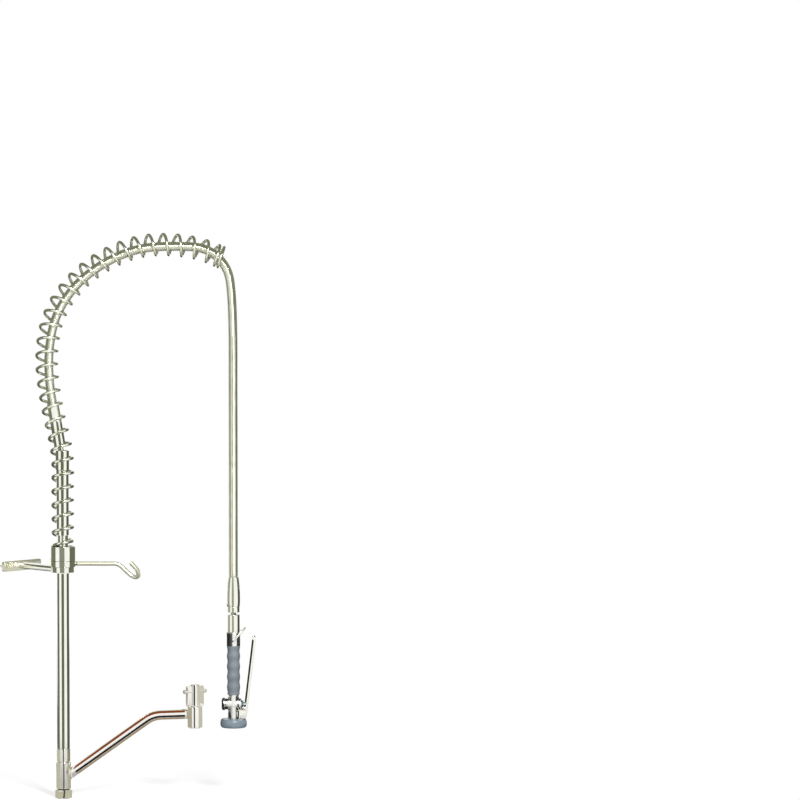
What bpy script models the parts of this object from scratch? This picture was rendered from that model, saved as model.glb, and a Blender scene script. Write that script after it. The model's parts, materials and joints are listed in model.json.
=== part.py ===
"""Pre-rinse faucet: a riser with a wall bracket, a sprung hose with a squeeze handset, and a swing spout.

Metres, +Z up. The origin is on the riser's axis at the bottom face of the base nut. +X runs from
the riser to the spout and the hanging handset; the wall lies behind and to the left, at 45 degrees.
"""
import math

import bmesh
import bpy
import numpy as np
from mathutils import Matrix, Vector

# ------------------------------------------------------------------ clearances
GAP = 0.0003             # between pieces that touch
RUNNING = 0.0003         # radial clearance of a turning fit
WELD = 1e-6
ROUND = 14               # sides of an outer turned piece
INNER = 10               # sides of a piece inside a housing
DRILL_CLOCK = 0.13
UP = Vector((0.0, 0.0, 1.0))
RIGHT = Vector((1.0, 0.0, 0.0))
BACK = Vector((0.0, 1.0, 0.0))

# ------------------------------------------------------------------ base and column
NUT_CORNERS = 0.034
NUT_HEIGHT = 0.018
SOCKET_RADIUS = 0.012
SOCKET_DEPTH = 0.009
WASHER_THICK = 0.002
FLANGE_THICK = 0.003
SPIGOT_RADIUS = 0.0092
SPIGOT_BORE = 0.0065
SPIGOT_INTO_SLEEVE = 0.014
THRUST_WASHER_THICK = 0.001
HUB_RADIUS = 0.01475
HUB_HEIGHT = 0.053
HUB_GALLERY_DEPTH = 0.002
O_RING_WIRE = 0.00065
O_RING_INSET = 0.0068
SLEEVE_RADIUS = 0.01325
SLEEVE_HEIGHT = 0.0267
SLEEVE_CHAMFER = 0.002
SLEEVE_PLUG = 0.012
RISER_RADIUS = 0.0125
RISER_WALL = 0.0012
RISER_LENGTH = 0.559

# ------------------------------------------------------------------ bracket, hook and spring cup
CLAMP_DROP = 0.2043       # riser's top down to the clamp ring's bottom face
CLAMP_RADIUS = 0.0233
CLAMP_HEIGHT = 0.011
SET_SCREW_RADIUS = 0.0025
SET_SCREW_LENGTH = 0.0095
SET_SCREW_AZIMUTH = math.radians(-38.0)
BRACKET_AZIMUTH = math.radians(135.0)
BRACKET_REACH = 0.128
BRACKET_ROD_RADIUS = 0.00675
BRACKET_STUD_RADIUS = 0.0045
BRACKET_ROD_START = 0.027
PLATE_WIDTH = 0.100
PLATE_HEIGHT = 0.020
PLATE_THICK = 0.007
PLATE_CORNER = 0.004
WALL_SCREW_OFFSET = 0.040
WALL_SCREW_RADIUS = 0.0025
WALL_SCREW_HEAD = 0.0046
WALL_SCREW_LENGTH = 0.028
HOOK_RING_RADIUS = 0.0255
HOOK_RING_HEIGHT = 0.0117
HOOK_ROD_RADIUS = 0.0043
CUP_RADIUS = 0.0255
CUP_HEIGHT = 0.0287
CUP_WALL = 0.0026
CUP_FLOOR = 0.006

# ------------------------------------------------------------------ hose joint at the riser's top
TOP_NUT_RADIUS = 0.0135
TOP_NUT_HEIGHT = 0.0394
TOP_NUT_PLUG = 0.015
BALL_RADIUS = 0.0093
BALL_HEIGHT = 0.0218      # ball centre above the nut's bottom face
WASHER_SEAT_DROP = 0.011  # ball centre down to the hose washer's seat
TAILPIECE_GRIPPED = 0.012
TAILPIECE_BORE = 0.0035
HOSE_TILT = math.radians(9.6)
NECK_RADIUS = 0.0055
NECK_LENGTH = 0.0239
UPPER_FERRULE_RADIUS = 0.01175
UPPER_FERRULE_LENGTH = 0.091

# ------------------------------------------------------------------ arch spring and hose
SPRING_RADIUS = 0.0195    # to the middle of the wire, in the cup
SPRING_SPREAD = 0.0010    # how much wider the coils stand at the crown
COIL_SKEW = 0.0012        # the inner side of a turn ahead of its outer side
SPRING_WIRE = 0.003
SPRING_TURNS = 35
CLOSED_TURNS_LOW = 2.0
CLOSED_TURNS_HIGH = 1.0
CLOSED_PITCH_LOW = 0.0070
CLOSED_PITCH_HIGH = 0.0077
CURL_POINTS = 9
HOSE_RADIUS = 0.0095
HOSE_GROOVE = 0.86        # groove radius over rib radius
HOSE_BORE = 0.0062
HOSE_RIBS = 100
HOSE_PLAIN_END = 2.0 * HOSE_RADIUS

# ------------------------------------------------------------------ handset
HANDSET_X = 0.3406
HANDSET_DROP = 0.2135     # riser's top down to the hose's lower end
LOWER_FERRULE_LENGTH = 0.0707
LOWER_FERRULE_RADIUS = 0.0125
LOWER_FERRULE_BULGE = 0.0135
SWIVEL_SHOW = 0.0048
SWIVEL_NECK_RADIUS = 0.00625
SWIVEL_FLANGE_RADIUS = 0.0091
CONNECTOR_RADIUS = 0.01275
CONNECTOR_HEIGHT = 0.035
CONNECTOR_PLUG = 0.0130
COLLAR_RADIUS = 0.0135
COLLAR_HEIGHT = 0.0277
BAIL_PIVOT_UP = 0.0105    # pivot above the collar's bottom face
BAIL_WIRE = 0.002
BAIL_HALF_WIDTH = 0.0163
BAIL_LENGTH = 0.0348
BAIL_REST = math.radians(41.5)
TUBE_RADIUS = 0.009
TUBE_WALL = 0.0018
GRIP_RADIUS = 0.0126
GRIP_SWELL = 0.00065
GRIP_LENGTH = 0.0973
GRIP_PERIOD = 0.0207
GRIP_FIRST_BULGE = 0.0148
VALVE_BODY_RADIUS = 0.011
VALVE_BODY_HEIGHT = 0.0481
CHAMBER_DROP = 0.0189     # chamber axis below the body's top face
CHAMBER_LEFT = 0.0171
CHAMBER_RIGHT = 0.0170
VALVE_WAY_RADIUS = 0.0035
INLET_WAY_LEFT = 0.0046
OUTLET_WAY_RIGHT = 0.0052
TUBE_SOCKET = 0.0084
SHELL_STUD_RADIUS = 0.0077
SHELL_STUD = 0.0111
CAP_RADIUS = 0.0127
CAP_THICK = 0.0062
CAP_PLUG = 0.0068
PIN_RADIUS = 0.0042
PIN_STEM_RADIUS = 0.002
SEAL_RADIUS = 0.0068
SEAL_THICK = 0.0024
SEAT_X = 0.0004           # valve seat right of the handset axis
LEVER_PIVOT_X = 0.0148
LEVER_PIVOT_UP = 0.0092   # pivot above the valve body's bottom face
LEVER_HALF_WIDTH = 0.0107
LEVER_SHEET = 0.0015
LEVER_LENGTH = 0.1558
LEVER_LEAN = 0.1195       # slope of the arm, sideways over height
LEVER_DEPTH = 0.0075
PIVOT_PIN_RADIUS = 0.0022
SHELL_RADIUS = 0.0203
SHELL_DEPTH = 0.0132
BUMPER_RADIUS = 0.0265
BUMPER_HEIGHT = 0.0174
NOZZLES = 8
NOZZLE_RADIUS = 0.0009

# ------------------------------------------------------------------ spout
SPOUT_RADIUS = 0.010
SPOUT_WALL = 0.0015
SPOUT_START_UP = 0.020    # spout's axis above the hub's bottom face, on the riser's axis
SPOUT_RISE = math.radians(35.5)
SPOUT_LEVEL = math.radians(2.0)
SPOUT_KNEE_X = 0.179
SPOUT_BEND = 0.056
SPOUT_REACH = 0.2632
TAP_RADIUS = 0.0145
TAP_HEIGHT = 0.042
TAP_PORT_UP = 0.0275      # tube's axis above the tap body's bottom face
AERATOR_RADIUS = 0.01025
AERATOR_SHOW = 0.002
AERATOR_DEPTH = 0.0074
HANDLE_BOSS = 0.0093
HANDLE_HEIGHT = 0.0417
WING_HALF_SPAN = 0.0195
WING_THICK = 0.005
WING_TURN = math.radians(30.0)
CROSS_PIN_RADIUS = 0.0036
CROSS_PIN_END_RADIUS = 0.00425
CROSS_PIN_HALF = 0.026
CROSS_PIN_UP = 0.0299
SPINDLE_RADIUS = 0.0035

# ------------------------------------------------------------------ heights and places worked out
FLANGE_Z = SOCKET_DEPTH + WASHER_THICK + GAP
NUT_LIP_Z = FLANGE_Z + FLANGE_THICK + GAP
THRUST_Z = NUT_HEIGHT + GAP
HUB_Z = THRUST_Z + THRUST_WASHER_THICK + GAP
HUB_BORE = SPIGOT_RADIUS + RUNNING
HUB_GALLERY = HUB_BORE + HUB_GALLERY_DEPTH
SPOUT_Z = HUB_Z + SPOUT_START_UP
SLEEVE_Z = HUB_Z + HUB_HEIGHT + GAP
RISER_Z = SLEEVE_Z + SLEEVE_HEIGHT + GAP
RISER_TOP = RISER_Z + RISER_LENGTH
RISER_BORE = RISER_RADIUS - RISER_WALL
COLLAR_BORE = RISER_RADIUS + RUNNING
CLAMP_Z = RISER_TOP - CLAMP_DROP
HOOK_Z = CLAMP_Z + CLAMP_HEIGHT + GAP
CUP_Z = HOOK_Z + HOOK_RING_HEIGHT + GAP
CUP_FLOOR_Z = CUP_Z + CUP_FLOOR
TOP_NUT_Z = RISER_TOP + GAP
BALL = Vector((0.0, 0.0, TOP_NUT_Z + BALL_HEIGHT))
HOSE_AXIS = Vector((-math.sin(HOSE_TILT), 0.0, math.cos(HOSE_TILT)))
HOSE_START = BALL + HOSE_AXIS * (NECK_LENGTH + UPPER_FERRULE_LENGTH + GAP)
BRACKET_OUT = Vector((math.cos(BRACKET_AZIMUTH), math.sin(BRACKET_AZIMUTH), 0.0))
BRACKET_Z = CLAMP_Z + CLAMP_HEIGHT / 2
HOSE_END_Z = RISER_TOP - HANDSET_DROP
FERRULE_TOP_Z = HOSE_END_Z - GAP
FERRULE_Z = FERRULE_TOP_Z - LOWER_FERRULE_LENGTH
CONNECTOR_TOP_Z = FERRULE_Z - SWIVEL_SHOW
CONNECTOR_Z = CONNECTOR_TOP_Z - CONNECTOR_HEIGHT
COLLAR_TOP_Z = CONNECTOR_Z - GAP
COLLAR_Z = COLLAR_TOP_Z - COLLAR_HEIGHT
GRIP_TOP_Z = COLLAR_Z - GAP
GRIP_Z = GRIP_TOP_Z - GRIP_LENGTH
VALVE_TOP_Z = GRIP_Z - GAP
VALVE_Z = VALVE_TOP_Z - VALVE_BODY_HEIGHT
CHAMBER_Z = VALVE_TOP_Z - CHAMBER_DROP
PIVOT_Z = VALVE_Z + LEVER_PIVOT_UP
SHELL_TOP_Z = VALVE_Z - GAP
TAP_Z = SPOUT_Z + SPOUT_KNEE_X * math.tan(SPOUT_RISE) \
    + (SPOUT_REACH - SPOUT_KNEE_X) * math.tan(SPOUT_LEVEL) - TAP_PORT_UP
TAP_TOP_Z = TAP_Z + TAP_HEIGHT
HANDLE_Z = TAP_TOP_Z + GAP

# Middle line of the arch spring, from the ball joint: (sideways, up) in metres.
ARCH_ROUTE = [
    (0.0000, -0.1450), (0.0000, -0.1010), (0.0000, -0.0570), (0.0004, -0.0140), (-0.0036, 0.0300),
    (-0.0130, 0.0725), (-0.0215, 0.1150), (-0.0280, 0.1585), (-0.0303, 0.2025), (-0.0262, 0.2460),
    (-0.0144, 0.2880), (0.0066, 0.3260), (0.0352, 0.3590), (0.0694, 0.3864), (0.1075, 0.4077),
    (0.1486, 0.4224), (0.1920, 0.4282), (0.2357, 0.4266), (0.2785, 0.4183), (0.3190, 0.4025)]

# How the bent coils lean: (share of the arch, the back of a turn ahead of its middle).
COIL_LEAN = [(0.0, 0.0030), (0.5, 0.0054), (0.85, 0.0027), (1.0, 0.0025)]

# The hook rod from its level start, (along, back, up) from the riser's axis.
HOOK_STRAIGHT = 0.080
HOOK_ROUTE = [
    (0.0600, 0.0000, 0.0000), (0.0980, 0.0000, 0.0000), (0.1080, 0.0000, -0.0008),
    (0.1165, 0.0000, -0.0055), (0.1250, 0.0000, -0.0135), (0.1335, 0.0000, -0.0212),
    (0.1415, -0.0010, -0.0262), (0.1482, -0.0045, -0.0262), (0.1512, -0.0092, -0.0205),
    (0.1490, -0.0122, -0.0122), (0.1420, -0.0136, -0.0035), (0.1355, -0.0142, 0.0035)]

# The hose after its straight start, from the ball joint: (sideways, up) in metres.
HOSE_ROUTE = [
    (-0.0252, 0.1620), (-0.0262, 0.1990), (-0.0226, 0.2385), (-0.0125, 0.2805), (0.0076, 0.3195),
    (0.0356, 0.3535), (0.0699, 0.3813), (0.1082, 0.4030), (0.1496, 0.4180), (0.1930, 0.4241),
    (0.2370, 0.4247), (0.2630, 0.4236), (0.2791, 0.4208), (0.2942, 0.4147), (0.3077, 0.4055),
    (0.3190, 0.3938), (0.3277, 0.3800), (0.3332, 0.3647), (0.3362, 0.3460), (0.3384, 0.3200),
    (0.3398, 0.2880)]


# ------------------------------------------------------------------ finishes
def finish(name, rgb, roughness, metallic):
    """A Principled material of one colour."""
    material = bpy.data.materials.new(name)
    material.use_nodes = True
    shader = material.node_tree.nodes["Principled BSDF"]
    shader.inputs["Base Color"].default_value = (*rgb, 1.0)
    shader.inputs["Roughness"].default_value = roughness
    shader.inputs["Metallic"].default_value = metallic
    return material


# ------------------------------------------------------------------ modelling helpers
def place(obj, at, along=UP, across=None):
    """Put the piece's origin at a point, with its own Z along a direction."""
    z = Vector(along).normalized()
    if across is None:
        turn = UP.rotation_difference(z).to_matrix()
    else:
        x = Vector(across).normalized()
        turn = Matrix((x, z.cross(x), z)).transposed()
    obj.matrix_world = Matrix.Translation(Vector(at)) @ turn.to_4x4()


def solid(name, bm, material, at=(0, 0, 0), along=UP, across=None):
    """Make the named piece from a bmesh, smooth but for its sharp edges."""
    bmesh.ops.remove_doubles(bm, verts=bm.verts, dist=WELD)
    bmesh.ops.recalc_face_normals(bm, faces=bm.faces)
    mesh = bpy.data.meshes.new(name)
    bm.to_mesh(mesh)
    bm.free()
    mesh.shade_smooth()
    mesh.set_sharp_from_angle(angle=math.radians(40.0))
    obj = bpy.data.objects.new(name, mesh)
    bpy.context.scene.collection.objects.link(obj)
    if material is None:
        obj.hide_render = True
        obj.display_type = "WIRE"
    else:
        mesh.materials.append(material)
    place(obj, at, along, across)
    return obj


def turned(name, profile, material, at=(0, 0, 0), along=UP, steps=ROUND, across=None, clock=0.0):
    """Spin a profile of (radius, height) points; it closes on itself unless both ends are on the axis.

    The clock angle turns its seams, so that the facets of a cutter don't meet those of what it cuts.
    """
    bm = bmesh.new()
    verts = [bm.verts.new((radius * math.cos(clock), radius * math.sin(clock), height))
             for radius, height in profile]
    pairs = list(zip(verts, verts[1:]))
    if profile[0][0] > 0.0 or profile[-1][0] > 0.0:
        pairs.append((verts[-1], verts[0]))
    edges = [bm.edges.new(pair) for pair in pairs]
    bmesh.ops.spin(bm, geom=verts + edges, cent=(0, 0, 0), axis=(0, 0, 1), angle=math.tau,
                   steps=steps, use_merge=True)
    return solid(name, bm, material, at, along, across)


def tube_profile(outer, inner, low, high, edge=0.0):
    """Profile of a plain ring or pipe, its outer edges broken by a small chamfer."""
    if edge == 0.0:
        return [(inner, low), (outer, low), (outer, high), (inner, high)]
    return [(inner, low), (outer - edge, low), (outer, low + edge), (outer, high - edge),
            (outer - edge, high), (inner, high)]


def rod_profile(radius, low, high):
    return [(0.0, low), (radius, low), (radius, high), (0.0, high)]


def rounded(corners, arc_steps=4):
    """An outline whose corners, (x, y, radius), are rounded by arcs."""
    outline = []
    count = len(corners)
    for index, (x, y, radius) in enumerate(corners):
        corner = Vector((x, y))
        if radius == 0.0:
            outline.append(corner)
            continue
        before = (Vector(corners[index - 1][:2]) - corner).normalized()
        after = (Vector(corners[(index + 1) % count][:2]) - corner).normalized()
        half = before.angle(after) / 2
        centre = corner + (before + after).normalized() * (radius / math.sin(half))
        start = corner + before * (radius / math.tan(half)) - centre
        sweep = start.angle_signed(corner + after * (radius / math.tan(half)) - centre)
        for step in range(arc_steps + 1):
            outline.append(centre + Matrix.Rotation(-sweep * step / arc_steps, 2) @ start)
    return outline


def extruded(name, outline, low, high, material, at=(0, 0, 0), along=UP, across=None):
    """Extrude an outline in the piece's own XY plane from one height to another."""
    bm = bmesh.new()
    face = bm.faces.new([bm.verts.new((x, y, low)) for x, y in outline])
    moved = bmesh.ops.extrude_face_region(bm, geom=[face])["geom"]
    bmesh.ops.translate(bm, vec=(0.0, 0.0, high - low),
                        verts=[item for item in moved if isinstance(item, bmesh.types.BMVert)])
    return solid(name, bm, material, at, along, across)


def combine(obj, other, operation):
    modifier = obj.modifiers.new(other.name, "BOOLEAN")
    modifier.operation = operation
    modifier.solver = "EXACT"
    modifier.object = other


def cut(obj, *cutters):
    for cutter in cutters:
        combine(obj, cutter, "DIFFERENCE")


def fuse(obj, *others):
    for other in others:
        combine(obj, other, "UNION")


def drill(name, radius, start, end, steps=16, clock=DRILL_CLOCK):
    """A cylinder to cut or fuse with, from one point to another."""
    start, end = Vector(start), Vector(end)
    length = (end - start).length
    return turned(name, rod_profile(radius, 0.0, length), None, start, end - start, steps, clock=clock)


def swept(name, points, radius, material, resolution, swell=None):
    """A round tube along points, with filled ends; swell scales its radius at each point."""
    curve = bpy.data.curves.new(name, "CURVE")
    curve.dimensions = "3D"
    curve.bevel_depth = radius
    curve.bevel_resolution = resolution
    curve.use_fill_caps = True
    spline = curve.splines.new("POLY")
    spline.points.add(len(points) - 1)
    for index, point in enumerate(points):
        spline.points[index].co = (*point, 1.0)
        spline.points[index].radius = swell[index] if swell else 1.0
    guide = bpy.data.objects.new(name + "_guide", curve)
    bpy.context.scene.collection.objects.link(guide)
    bpy.context.view_layer.update()
    bm = bmesh.new()
    bm.from_mesh(guide.evaluated_get(bpy.context.evaluated_depsgraph_get()).to_mesh())
    bpy.data.objects.remove(guide)
    return solid(name, bm, material)


class SmoothCurve:
    """Natural cubic spline through a route's points, read by distance along it."""

    def __init__(self, points):
        route = np.array([tuple(point) for point in points])
        chord = np.r_[0.0, np.cumsum(np.linalg.norm(np.diff(route, axis=0), axis=1))]
        count, span = len(route), np.diff(chord)
        system, right = np.zeros((count, count)), np.zeros((count, route.shape[1]))
        system[0, 0] = system[-1, -1] = 1.0
        for i in range(1, count - 1):
            system[i, i - 1:i + 2] = span[i - 1], 2 * (span[i - 1] + span[i]), span[i]
            right[i] = 6 * ((route[i + 1] - route[i]) / span[i] - (route[i] - route[i - 1]) / span[i - 1])
        bend = np.linalg.solve(system, right)
        t = np.linspace(0.0, chord[-1], 4000)
        k = np.clip(np.searchsorted(chord, t) - 1, 0, count - 2)
        a, b, h = (chord[k + 1] - t)[:, None], (t - chord[k])[:, None], span[k][:, None]
        self.fine = (bend[k] * a ** 3 + bend[k + 1] * b ** 3) / (6 * h) \
            + (route[k] / h - bend[k] * h / 6) * a + (route[k + 1] / h - bend[k + 1] * h / 6) * b
        self.reach = np.r_[0.0, np.cumsum(np.linalg.norm(np.diff(self.fine, axis=0), axis=1))]
        self.length = self.reach[-1]

    def at(self, distance):
        return Vector([np.interp(distance, self.reach, self.fine[:, i]) for i in range(3)])

    def heading(self, distance):
        step = 0.0005
        return (self.at(min(distance + step, self.length)) - self.at(max(distance - step, 0.0))).normalized()

    def tightest(self):
        """Smallest bend radius along the curve."""
        first = np.gradient(self.fine, self.reach, axis=0)
        second = np.gradient(first, self.reach, axis=0)
        return 1.0 / np.linalg.norm(second[20:-20], axis=1).max()


# ------------------------------------------------------------------ column
def build_base(steel, rubber, plastic):
    hexagon = turned("base_nut", rod_profile(NUT_CORNERS / 2, 0.0, NUT_HEIGHT), steel, steps=6)
    flat = NUT_CORNERS / 2 * math.cos(math.pi / 6)
    bevel = NUT_CORNERS / 2 - flat
    cone = turned("nut_bevel", [(0.0, 0.0), (flat, 0.0), (flat + bevel, bevel * 0.7),
                                (flat + bevel, NUT_HEIGHT - bevel * 0.7), (flat, NUT_HEIGHT),
                                (0.0, NUT_HEIGHT)], None)
    combine(hexagon, cone, "INTERSECT")
    lip = SPIGOT_RADIUS + RUNNING
    bore = turned("nut_bore", [(0.0, -GAP), (SOCKET_RADIUS, -GAP), (SOCKET_RADIUS, NUT_LIP_Z),
                               (lip, NUT_LIP_Z), (lip, NUT_HEIGHT + GAP), (0.0, NUT_HEIGHT + GAP)], None, steps=INNER)
    cut(hexagon, bore)
    flange = SOCKET_RADIUS - RUNNING
    turned("base_washer", tube_profile(flange, SPIGOT_BORE, SOCKET_DEPTH, SOCKET_DEPTH + WASHER_THICK),
           rubber, steps=INNER)
    turned("thrust_washer", tube_profile(HUB_RADIUS - 0.0025, SPIGOT_RADIUS + RUNNING, THRUST_Z,
                                         THRUST_Z + THRUST_WASHER_THICK), plastic)


def groove_heights():
    """Middle heights of the two O-ring grooves, inside the ends of the hub."""
    return HUB_Z + O_RING_INSET, HUB_Z + HUB_HEIGHT - O_RING_INSET


def build_spigot(steel, rubber):
    floor = SPIGOT_RADIUS - 2 * O_RING_WIRE - GAP / 2
    half = O_RING_WIRE + GAP
    profile = [(SPIGOT_BORE, FLANGE_Z), (SOCKET_RADIUS - RUNNING, FLANGE_Z),
               (SOCKET_RADIUS - RUNNING, FLANGE_Z + FLANGE_THICK), (SPIGOT_RADIUS, FLANGE_Z + FLANGE_THICK)]
    for middle in groove_heights():
        profile += [(SPIGOT_RADIUS, middle - half), (floor, middle - half),
                    (floor, middle + half), (SPIGOT_RADIUS, middle + half)]
    profile += [(SPIGOT_RADIUS, SLEEVE_Z + SPIGOT_INTO_SLEEVE), (SPIGOT_BORE, SLEEVE_Z + SPIGOT_INTO_SLEEVE)]
    spigot = turned("column_spigot", profile, steel, steps=INNER)
    port_z = HUB_Z + HUB_HEIGHT / 2
    reach = RIGHT * (SPIGOT_RADIUS + GAP)
    cut(spigot, drill("spigot_ports", 0.0035, -reach + UP * port_z, reach + UP * port_z, 8))
    ring = floor + GAP + O_RING_WIRE
    for name, middle in zip(("hub_o_ring_lower", "hub_o_ring_upper"), groove_heights()):
        wire = [(ring + O_RING_WIRE * math.cos(math.tau * i / 5), middle + O_RING_WIRE * math.sin(math.tau * i / 5))
                for i in range(5)]
        turned(name, wire, rubber, steps=INNER)


def build_column(steel):
    plug = RISER_BORE - RUNNING
    turned("upper_sleeve", [
        (SPIGOT_RADIUS + RUNNING, SLEEVE_Z), (SLEEVE_RADIUS - SLEEVE_CHAMFER / 2, SLEEVE_Z),
        (SLEEVE_RADIUS, SLEEVE_Z + SLEEVE_CHAMFER), (SLEEVE_RADIUS, SLEEVE_Z + SLEEVE_HEIGHT),
        (plug, SLEEVE_Z + SLEEVE_HEIGHT), (plug, SLEEVE_Z + SLEEVE_HEIGHT + SLEEVE_PLUG),
        (SPIGOT_BORE, SLEEVE_Z + SLEEVE_HEIGHT + SLEEVE_PLUG),
        (SPIGOT_BORE, SLEEVE_Z + SPIGOT_INTO_SLEEVE + GAP),
        (SPIGOT_RADIUS + RUNNING, SLEEVE_Z + SPIGOT_INTO_SLEEVE + GAP)], steel)
    turned("riser_tube", tube_profile(RISER_RADIUS, RISER_BORE, RISER_Z, RISER_TOP), steel)
    lip = NECK_RADIUS + 0.0029
    chamber = BALL_RADIUS + 3 * GAP
    seat = BALL_HEIGHT + math.sqrt((BALL_RADIUS + GAP) ** 2 - lip ** 2)
    turned("riser_top_nut", [
        (SPIGOT_BORE, -TOP_NUT_PLUG), (plug, -TOP_NUT_PLUG), (plug, 0.0), (TOP_NUT_RADIUS - 0.001, 0.0),
        (TOP_NUT_RADIUS, 0.001), (TOP_NUT_RADIUS, TOP_NUT_HEIGHT - 0.001),
        (TOP_NUT_RADIUS - 0.001, TOP_NUT_HEIGHT), (lip + 0.0018, TOP_NUT_HEIGHT), (lip, seat + 0.001),
        (lip, seat), (chamber, seat), (chamber, BALL_HEIGHT - WASHER_SEAT_DROP),
        (SPIGOT_BORE, BALL_HEIGHT - WASHER_SEAT_DROP)],
        steel, (0, 0, TOP_NUT_Z))


def build_hose_joint(steel, rubber):
    flat = BALL_RADIUS * 0.86
    low = BALL_HEIGHT - WASHER_SEAT_DROP + GAP
    tilt_drop = math.sqrt(BALL_RADIUS ** 2 - flat ** 2) * math.sin(HOSE_TILT)
    high = BALL_HEIGHT - flat * math.cos(HOSE_TILT) - tilt_drop - GAP
    turned("hose_washer", tube_profile(BALL_RADIUS, NECK_RADIUS, low, high), rubber, (0, 0, TOP_NUT_Z), steps=INNER)
    first, last = math.asin(-flat / BALL_RADIUS), math.acos(NECK_RADIUS / BALL_RADIUS)
    angles = [first + (last - first) * i / 6 for i in range(7)]
    ball = [(BALL_RADIUS * math.cos(a), BALL_RADIUS * math.sin(a)) for a in angles]
    bore = TAILPIECE_BORE
    end = NECK_LENGTH + TAILPIECE_GRIPPED
    turned("hose_tailpiece", [(bore, -flat)] + ball + [(NECK_RADIUS, end), (bore, end)], steel,
           BALL, HOSE_AXIS, INNER)
    low, high = NECK_LENGTH, NECK_LENGTH + UPPER_FERRULE_LENGTH
    socket = NECK_RADIUS + RUNNING
    wide = UPPER_FERRULE_RADIUS
    turned("upper_ferrule", [
        (socket, low), (wide - 0.0015, low), (wide, low + 0.0015), (wide, high - 0.002),
        (wide - 0.0012, high), (HOSE_BORE, high), (HOSE_BORE, end + GAP), (socket, end + GAP)],
        steel, BALL, HOSE_AXIS)


# ------------------------------------------------------------------ bracket, hook, cup
def build_bracket(steel, satin):
    clamp = turned("bracket_clamp_ring", tube_profile(CLAMP_RADIUS, COLLAR_BORE, 0.0, CLAMP_HEIGHT, 0.0006),
                   steel, (0, 0, CLAMP_Z), steps=20)
    middle = UP * BRACKET_Z
    screw_way = Vector((math.cos(SET_SCREW_AZIMUTH), math.sin(SET_SCREW_AZIMUTH), 0.0))
    stud_hole = drill("stud_hole", BRACKET_STUD_RADIUS + GAP, middle + BRACKET_OUT * RISER_RADIUS,
                      middle + BRACKET_OUT * (CLAMP_RADIUS + 0.004), 10)
    screw_hole = drill("screw_hole", SET_SCREW_RADIUS + GAP, middle + screw_way * RISER_RADIUS,
                       middle + screw_way * (CLAMP_RADIUS + 0.004), 8)
    cut(clamp, stud_hole, screw_hole)
    screw = turned("clamp_set_screw", rod_profile(SET_SCREW_RADIUS, 0.0, SET_SCREW_LENGTH), steel,
                   middle + screw_way * (RISER_RADIUS + GAP), screw_way, 10)
    key = SET_SCREW_RADIUS * 0.6
    top = middle + screw_way * (RISER_RADIUS + GAP + SET_SCREW_LENGTH)
    cut(screw, drill("hex_key", key, top - screw_way * 0.0025, top + screw_way * 0.001, 6))

    rod_end = BRACKET_REACH - PLATE_THICK - GAP
    stud_end = BRACKET_REACH - 0.0015
    start = COLLAR_BORE + GAP
    neck = BRACKET_ROD_RADIUS - BRACKET_STUD_RADIUS
    turned("bracket_rod", [
        (0.0, start), (BRACKET_STUD_RADIUS, start), (BRACKET_STUD_RADIUS, BRACKET_ROD_START),
        (BRACKET_ROD_RADIUS - neck * 0.4, BRACKET_ROD_START), (BRACKET_ROD_RADIUS, BRACKET_ROD_START + 0.001),
        (BRACKET_ROD_RADIUS, rod_end), (BRACKET_STUD_RADIUS, rod_end), (BRACKET_STUD_RADIUS, stud_end),
        (0.0, stud_end)], steel, middle, BRACKET_OUT, 16)

    half_w, half_h, r = PLATE_WIDTH / 2, PLATE_HEIGHT / 2, PLATE_CORNER
    outline = rounded([(-half_w, -half_h, r), (half_w, -half_h, r), (half_w, half_h, r), (-half_w, half_h, r)], 3)
    front = BRACKET_REACH - PLATE_THICK
    across = BRACKET_OUT.cross(UP)
    plate = extruded("wall_plate", outline, front, BRACKET_REACH, satin, middle, BRACKET_OUT, -across)
    cut(plate, drill("rod_hole", BRACKET_STUD_RADIUS + GAP, middle + BRACKET_OUT * (front - 0.001),
                     middle + BRACKET_OUT * (BRACKET_REACH + 0.001), 12))
    head_depth = WALL_SCREW_HEAD - WALL_SCREW_RADIUS
    for name, side in (("wall_screw_1", -1), ("wall_screw_2", 1)):
        base = middle + across * (side * WALL_SCREW_OFFSET) + BRACKET_OUT * front
        sink = turned("sink_" + name, [
            (0.0, -0.001), (WALL_SCREW_HEAD + GAP, -0.001), (WALL_SCREW_HEAD + GAP, GAP),
            (WALL_SCREW_RADIUS + GAP, head_depth + GAP), (WALL_SCREW_RADIUS + GAP, PLATE_THICK + 0.001),
            (0.0, PLATE_THICK + 0.001)], None, base, BRACKET_OUT, 16)
        cut(plate, sink)
        screw = turned(name, [
            (0.0, 0.0), (WALL_SCREW_HEAD, 0.0), (WALL_SCREW_RADIUS, head_depth),
            (WALL_SCREW_RADIUS, WALL_SCREW_LENGTH - 0.005), (0.0, WALL_SCREW_LENGTH)],
            steel, base + BRACKET_OUT * GAP, BRACKET_OUT, 14)
        for arm in (across, UP):
            long, thin = 0.0026, 0.0005
            outline = [(-long, -thin), (long, -thin), (long, thin), (-long, thin)]
            slot = extruded("slot_%s_%d" % (name, arm.z), outline, -0.001, 0.0018, None, base, BRACKET_OUT, arm)
            cut(screw, slot)


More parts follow.
